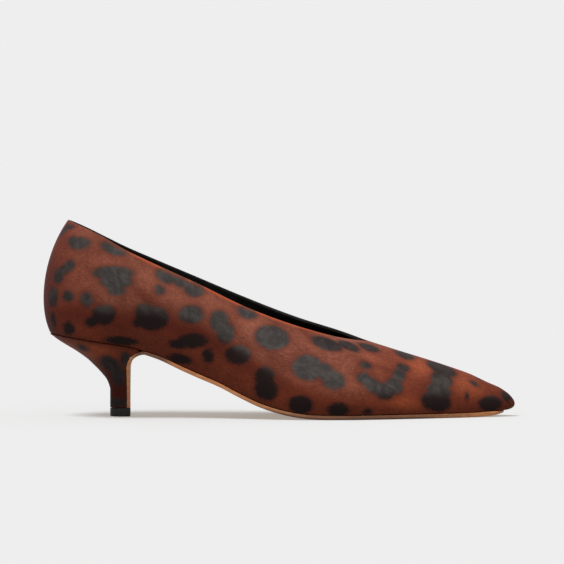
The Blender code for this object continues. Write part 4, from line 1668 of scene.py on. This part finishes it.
@dataclass(frozen=True)
class HairFinish:
    """Short rust hair with dark spots, combed along the shoe, under painted light, shade, sheen and
    highlight.

    Its noises are read in millimetres of the hide, and those of the hairs in the hide stretched by the
    streak. The steps say how far each tone covers the ones before it.
    """

    maroon: Colour = (0.046, 0.0085, 0.0048)
    rust: Colour = (0.108, 0.0205, 0.0080)
    # Rust under painted sheen
    sheen_lit_rust: Colour = (0.126, 0.0405, 0.0250)
    # Colours of painted light, with and without painted sheen
    pale: Colour = (0.184, 0.0590, 0.0360)
    glow: Colour = (0.205, 0.0440, 0.0150)
    # Colour of the painted shade
    deep: Colour = (0.026, 0.0030, 0.0020)
    amber: Colour = (0.260, 0.072, 0.022)
    ink: Colour = (0.0074, 0.0042, 0.0040)
    # Dark spots under painted sheen, and patchy flecks of that sheen
    sheen_lit_ink: Colour = (0.0222, 0.0200, 0.0186)
    sheen_fleck: Colour = (0.0490, 0.0420, 0.0380)
    # Painted highlight along the collar's fold
    fold_highlight_colour: Colour = (0.270, 0.0480, 0.0155)
    streak: Triple = (0.28, 2.2, 1.0)
    hairs: Noise = Noise(1.0, 3.0, 0.25)
    fine_hairs: Noise = Noise(2.6, 2.0, 0.2)
    clouds: Noise = Noise(0.055, 2.0, 0.6)
    tufts: Noise = Noise(0.55, 3.0, 0.5)
    drifts: Noise = Noise(0.20, 2.0, 0.4)
    fray: float = 3.8
    inked: Step = Step(-1.50, 1.00)
    halo: Step = Step(-3.00, -0.30, 0.0, 0.32)
    # How far painted light spreads from its ovals
    light: Step = Step(-4.0, 7.0, 0.0, 0.52)
    full: Step = Step(0.5333, 1.4333)
    bright: Step = Step(0.48, 0.80, 0.0, 0.42)
    shaded: Step = Step(0.25, 0.80, 1.0, 0.75)
    mottled: Step = Step(0.38, 0.62, 0.30, 0.0)
    brown_hairs: Step = Step(0.45, 0.90, 0.0, 0.30)
    grey_drifts: Step = Step(0.40, 0.66, 0.0, 0.45)
    grey_tufts: Step = Step(0.45, 0.66, 0.0, 0.22)
    # How strongly the painted highlight along the fold shows
    fold_highlight: Step = Step(0.30, 0.95, 0.0, 0.55)
    roughness: float = 0.60
    gloss: float = 0.05
    depth: float = 0.00010
    coarse_share: float = 0.6
    fine_share: float = 0.4

    def material(self) -> bpy.types.Material:
        """The finish as nodes."""
        graph = Graph("rust_haired_leather")
        hide = graph.attribute("hide", "Vector")
        combed = graph.stretched(hide, self.streak)
        hairs = graph.noise(combed, self.hairs)
        fine = graph.noise(combed, self.fine_hairs)
        tuft = graph.noise(hide, self.tufts)
        frayed = graph.times(graph.add(graph.add(hairs, tuft), -1.0), self.fray)
        reach = graph.add(graph.attribute("spot"), frayed)
        ground = self.ground(graph, hide, hairs, fine)
        ground = graph.blend(graph.step(reach, self.halo), ground, self.maroon)
        ground = graph.blend(graph.step(tuft, self.mottled), ground, self.maroon)
        spots = self.spots(graph, hide, fine, tuft)
        coat = graph.blend(graph.step(reach, self.inked), ground, spots)
        # The painted highlight along the collar's fold
        fold_highlight = graph.step(graph.attribute("fold_highlight"), self.fold_highlight)
        graph.shade(
            Base_Color=graph.blend(fold_highlight, coat, self.fold_highlight_colour),
            Roughness=self.roughness,
            Specular_IOR_Level=self.gloss,
        )
        height = graph.add(graph.times(hairs, self.coarse_share), graph.times(fine, self.fine_share))
        graph.relief(height, self.depth)
        return graph.material

    def ground(self, graph: Graph, hide: Socket, hairs: Socket, fine: Socket) -> Socket:
        """The rust hair between the spots, with its painted light, painted sheen and painted shade.

        Args:
            graph: The material's nodes.
            hide: Place on the hide.
            hairs: Noise of the hairs.
            fine: Noise of the finer hairs.

        Returns:
            Its colour.
        """
        painted_sheen = graph.attribute("painted_sheen")
        full = graph.blend(painted_sheen, self.rust, self.sheen_lit_rust)
        tone = graph.add(graph.noise(hide, self.clouds), hairs)
        ground = graph.blend(graph.step(tone, self.full), self.maroon, full)
        light = graph.step(graph.attribute("light"), self.light)
        ground = graph.blend(light, ground, graph.blend(painted_sheen, self.glow, self.pale))
        ground = graph.blend(graph.step(fine, self.bright), ground, self.amber)
        dusk = graph.times(graph.attribute("dusk"), graph.step(hairs, self.shaded))
        return graph.blend(dusk, ground, self.deep)

    def spots(self, graph: Graph, hide: Socket, fine: Socket, tuft: Socket) -> Socket:
        """The dark hair of the spots, with patchy painted sheen.

        Args:
            graph: The material's nodes.
            hide: Place on the hide.
            fine: Noise of the finer hairs.
            tuft: Noise of the tufts.

        Returns:
            Its colour.
        """
        ash = graph.attribute("ash")
        black = graph.blend(ash, self.ink, self.sheen_lit_ink)
        spots = graph.blend(graph.step(fine, self.brown_hairs), black, self.maroon)
        drift = graph.noise(hide, self.drifts)
        patchy = graph.add(graph.step(drift, self.grey_drifts), graph.step(tuft, self.grey_tufts))
        return graph.blend(graph.times(ash, patchy), spots, self.sheen_fleck)


@dataclass(frozen=True)
class BlackFinish:
    """A smooth black surface, worn in clouds; its noises are read in metres."""

    name: str
    colour: Colour
    worn: Colour
    roughness: Step
    gloss: float
    clouds: Noise = Noise(90.0, 3.0)
    wear: Step = Step(0.45, 0.80)
    grain: Noise = Noise(1500.0, 2.0, 0.3)
    depth: float = 0.00004

    def material(self) -> bpy.types.Material:
        """The finish as nodes."""
        graph = Graph(self.name)
        place = graph.place()
        cloud = graph.noise(place, self.clouds)
        graph.shade(
            Base_Color=graph.blend(graph.step(cloud, self.wear), self.colour, self.worn),
            Roughness=graph.step(cloud, self.roughness),
            Specular_IOR_Level=self.gloss,
        )
        graph.relief(graph.noise(place, self.grain), self.depth)
        return graph.material


LINING_FINISH = BlackFinish(
    "black_lining_leather",
    colour=(0.0060, 0.0056, 0.0052),
    worn=(0.0140, 0.0128, 0.0120),
    roughness=Step(0.30, 0.80, 0.75, 0.90),
    gloss=0.02,
)
SOCK_FINISH = BlackFinish(
    "black_sock_leather",
    colour=(0.0120, 0.0110, 0.0105),
    worn=(0.0170, 0.0156, 0.0148),
    roughness=Step(0.30, 0.80, 0.31, 0.46),
    gloss=0.40,
)
TOP_PIECE_FINISH = BlackFinish(
    "black_top_piece",
    colour=(0.0065, 0.0060, 0.0058),
    worn=(0.0180, 0.0165, 0.0155),
    roughness=Step(0.30, 0.80, 0.42, 0.60),
    gloss=0.22,
    clouds=Noise(500.0, 4.0),
    wear=Step(0.50, 0.80),
    grain=Noise(2500.0),
    depth=0.00003,
)


@dataclass(frozen=True)
class SoleFinish:
    """Smooth tan leather with a darker edge and painted shade, rubbed where it walks; its noises are read in
    metres.
    """

    tan: Colour = (0.430, 0.190, 0.075)
    edge_tan: Colour = (0.290, 0.104, 0.032)
    # Colour of the painted shade
    dusk: Colour = (0.042, 0.013, 0.006)
    rubbed: Colour = (0.330, 0.190, 0.105)
    clouds: Noise = Noise(60.0, 3.0, 0.3)
    grain: Noise = Noise(900.0, 3.0)
    fibre_scale: Triple = (70.0, 900.0, 900.0)
    fibres: Noise = Noise(1.0)
    rubbing: Step = Step(0.45, 0.85, 0.0, 0.5)
    fibre_tan: Step = Step(0.35, 0.75, 0.0, 0.6)
    on_edge: Step = Step(0.2, 0.9)
    roughness: Step = Step(0.3, 0.8, 0.40, 0.60)
    gloss: float = 0.35
    depth: float = 0.00003

    def material(self) -> bpy.types.Material:
        """The finish as nodes."""
        graph = Graph("tan_sole_leather")
        place = graph.place()
        cloud = graph.noise(place, self.clouds)
        fibre = graph.noise(graph.stretched(place, self.fibre_scale), self.fibres)
        flat = graph.blend(graph.step(cloud, self.rubbing), self.tan, self.rubbed)
        edge = graph.blend(graph.step(fibre, self.fibre_tan), self.edge_tan, self.tan)
        colour = graph.blend(graph.step(graph.attribute("rim"), self.on_edge), flat, edge)
        graph.shade(
            Base_Color=graph.blend(graph.attribute("dusk"), colour, self.dusk),
            Roughness=graph.step(cloud, self.roughness),
            Specular_IOR_Level=self.gloss,
        )
        graph.relief(graph.noise(place, self.grain), self.depth)
        return graph.material


@dataclass(frozen=True)
class FloorFinish:
    """A matt pale table top with a soft warm glow of its own, so that its shadows are warm."""

    colour: Colour = (0.1677, 0.1801, 0.1919)
    fibre_share: float = 0.998
    fibres: Noise = Noise(300.0)
    glow_colour: Colour = (1.0, 0.896, 0.798)
    glow: float = 0.357

    def material(self) -> bpy.types.Material:
        """The finish as nodes."""
        graph = Graph("pale_table")
        darker = tuple(part * self.fibre_share for part in self.colour)
        graph.shade(
            Base_Color=graph.blend(graph.noise(graph.place(), self.fibres), self.colour, darker),
            Roughness=1.0,
            Specular_IOR_Level=0.0,
            Emission_Color=self.glow_colour,
            Emission_Strength=self.glow,
        )
        return graph.material


@dataclass(frozen=True)
class Studio:
    """The pale floor, the soft light and the camera, as in the photo."""

    sky: float = 0.856
    lamp: float = 7.27
    lamp_spread: float = math.radians(24)
    lamp_height: float = math.radians(66)
    lamp_turn: float = math.radians(-55)
    floor_size: float = 30.0
    camera_place: Triple = (0.0014, -2.6, 0.155)
    aim: Triple = (0.0014, 0.0, 0.0711)
    lens: float = 313.7
    sensor: float = 36.0
    sight: float = 100.0

    def light(self) -> None:
        """Set up the sky and the lamp, and keep colours as they are."""
        scene = bpy.context.scene
        scene.view_settings.view_transform = "Standard"
        scene.world = bpy.data.worlds.new("soft_sky")
        scene.world.use_nodes = True
        background = scene.world.node_tree.nodes["Background"]
        background.inputs["Color"].default_value = (self.sky, self.sky, self.sky, 1.0)
        lamp = bpy.data.lights.new("soft_lamp", "SUN")
        lamp.energy = self.lamp
        lamp.angle = self.lamp_spread
        flat = math.cos(self.lamp_height)
        x, y = flat * math.sin(self.lamp_turn), -flat * math.cos(self.lamp_turn)
        towards = Vector((x, y, math.sin(self.lamp_height)))
        put("soft_lamp", lamp).rotation_euler = towards.to_track_quat("Z", "Y").to_euler()

    def floor(self, material: bpy.types.Material) -> None:
        """Lay the floor under the shoe.

        Args:
            material: Its finish.
        """
        half = self.floor_size / 2
        corners = [(-half, -half, 0), (half, -half, 0), (half, half, 0), (-half, half, 0)]
        mesh = bpy.data.meshes.new("floor")
        mesh.from_pydata(corners, [], [(0, 1, 2, 3)])
        mesh.materials.append(material)
        put("floor", mesh)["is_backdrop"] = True

    def camera(self) -> None:
        """Place the camera at the photo's angle."""
        data = bpy.data.cameras.new("camera")
        data.lens = self.lens
        data.sensor_width = self.sensor
        data.clip_end = self.sight
        camera = put("camera", data)
        camera.location = self.camera_place
        direction = Vector(self.aim) - Vector(self.camera_place)
        camera.rotation_euler = direction.to_track_quat("-Z", "Y").to_euler()
        bpy.context.scene.camera = camera


class SizeFile:
    """Takes the box of the frame and the box of the whole look, and does nothing with them."""

    @classmethod
    def write(cls, frame_box: object, look_box: object) -> None:
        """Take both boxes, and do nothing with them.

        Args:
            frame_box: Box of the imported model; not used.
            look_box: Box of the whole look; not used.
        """


def shoe_shift(last: Last) -> Vector:
    """How far the shoe's own origin lies from the frame's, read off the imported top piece."""
    low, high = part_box("heel_lift")
    return Vector((high.x - last.flap_x, (low.y + high.y) / 2, 0.0))


def main() -> None:
    """Build the shoe's pieces in the order in which they are put together, then the studio."""
    logging.basicConfig(level=logging.INFO, format="%(name)s: %(message)s")
    last = Last()
    shell = LastedShell(last)
    shift = shoe_shift(last)
    heel = CoveredHeel(last, shift)
    spots = SpotChart(LATERAL_BLOBS, MEDIAL_PATCHES + RIDGE_PATCHES)
    skin = UpperSkin(shell, spots, SpotChart(PAINTED_LIGHT_BLOBS), HairShade(), shift)
    hair = HairFinish().material()
    settle(skin.cover(hair), "upper")
    settle(skin.lining(LINING_FINISH.material()), "upper")
    settle(InsoleSock(shell, shift).build(SOCK_FINISH.material()), "insole")
    settle(LeatherSole(last, heel, shift).build(SoleFinish().material()), "outsole")
    settle(heel.build(hair), "heel")
    settle(TopPiece(heel).build(TOP_PIECE_FINISH.material()), "heel_lift")

    studio = Studio()
    studio.light()
    studio.floor(FloorFinish().material())
    studio.camera()
    SizeFile.write(CAD_BOX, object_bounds())


if __name__ == "__main__":
    main()
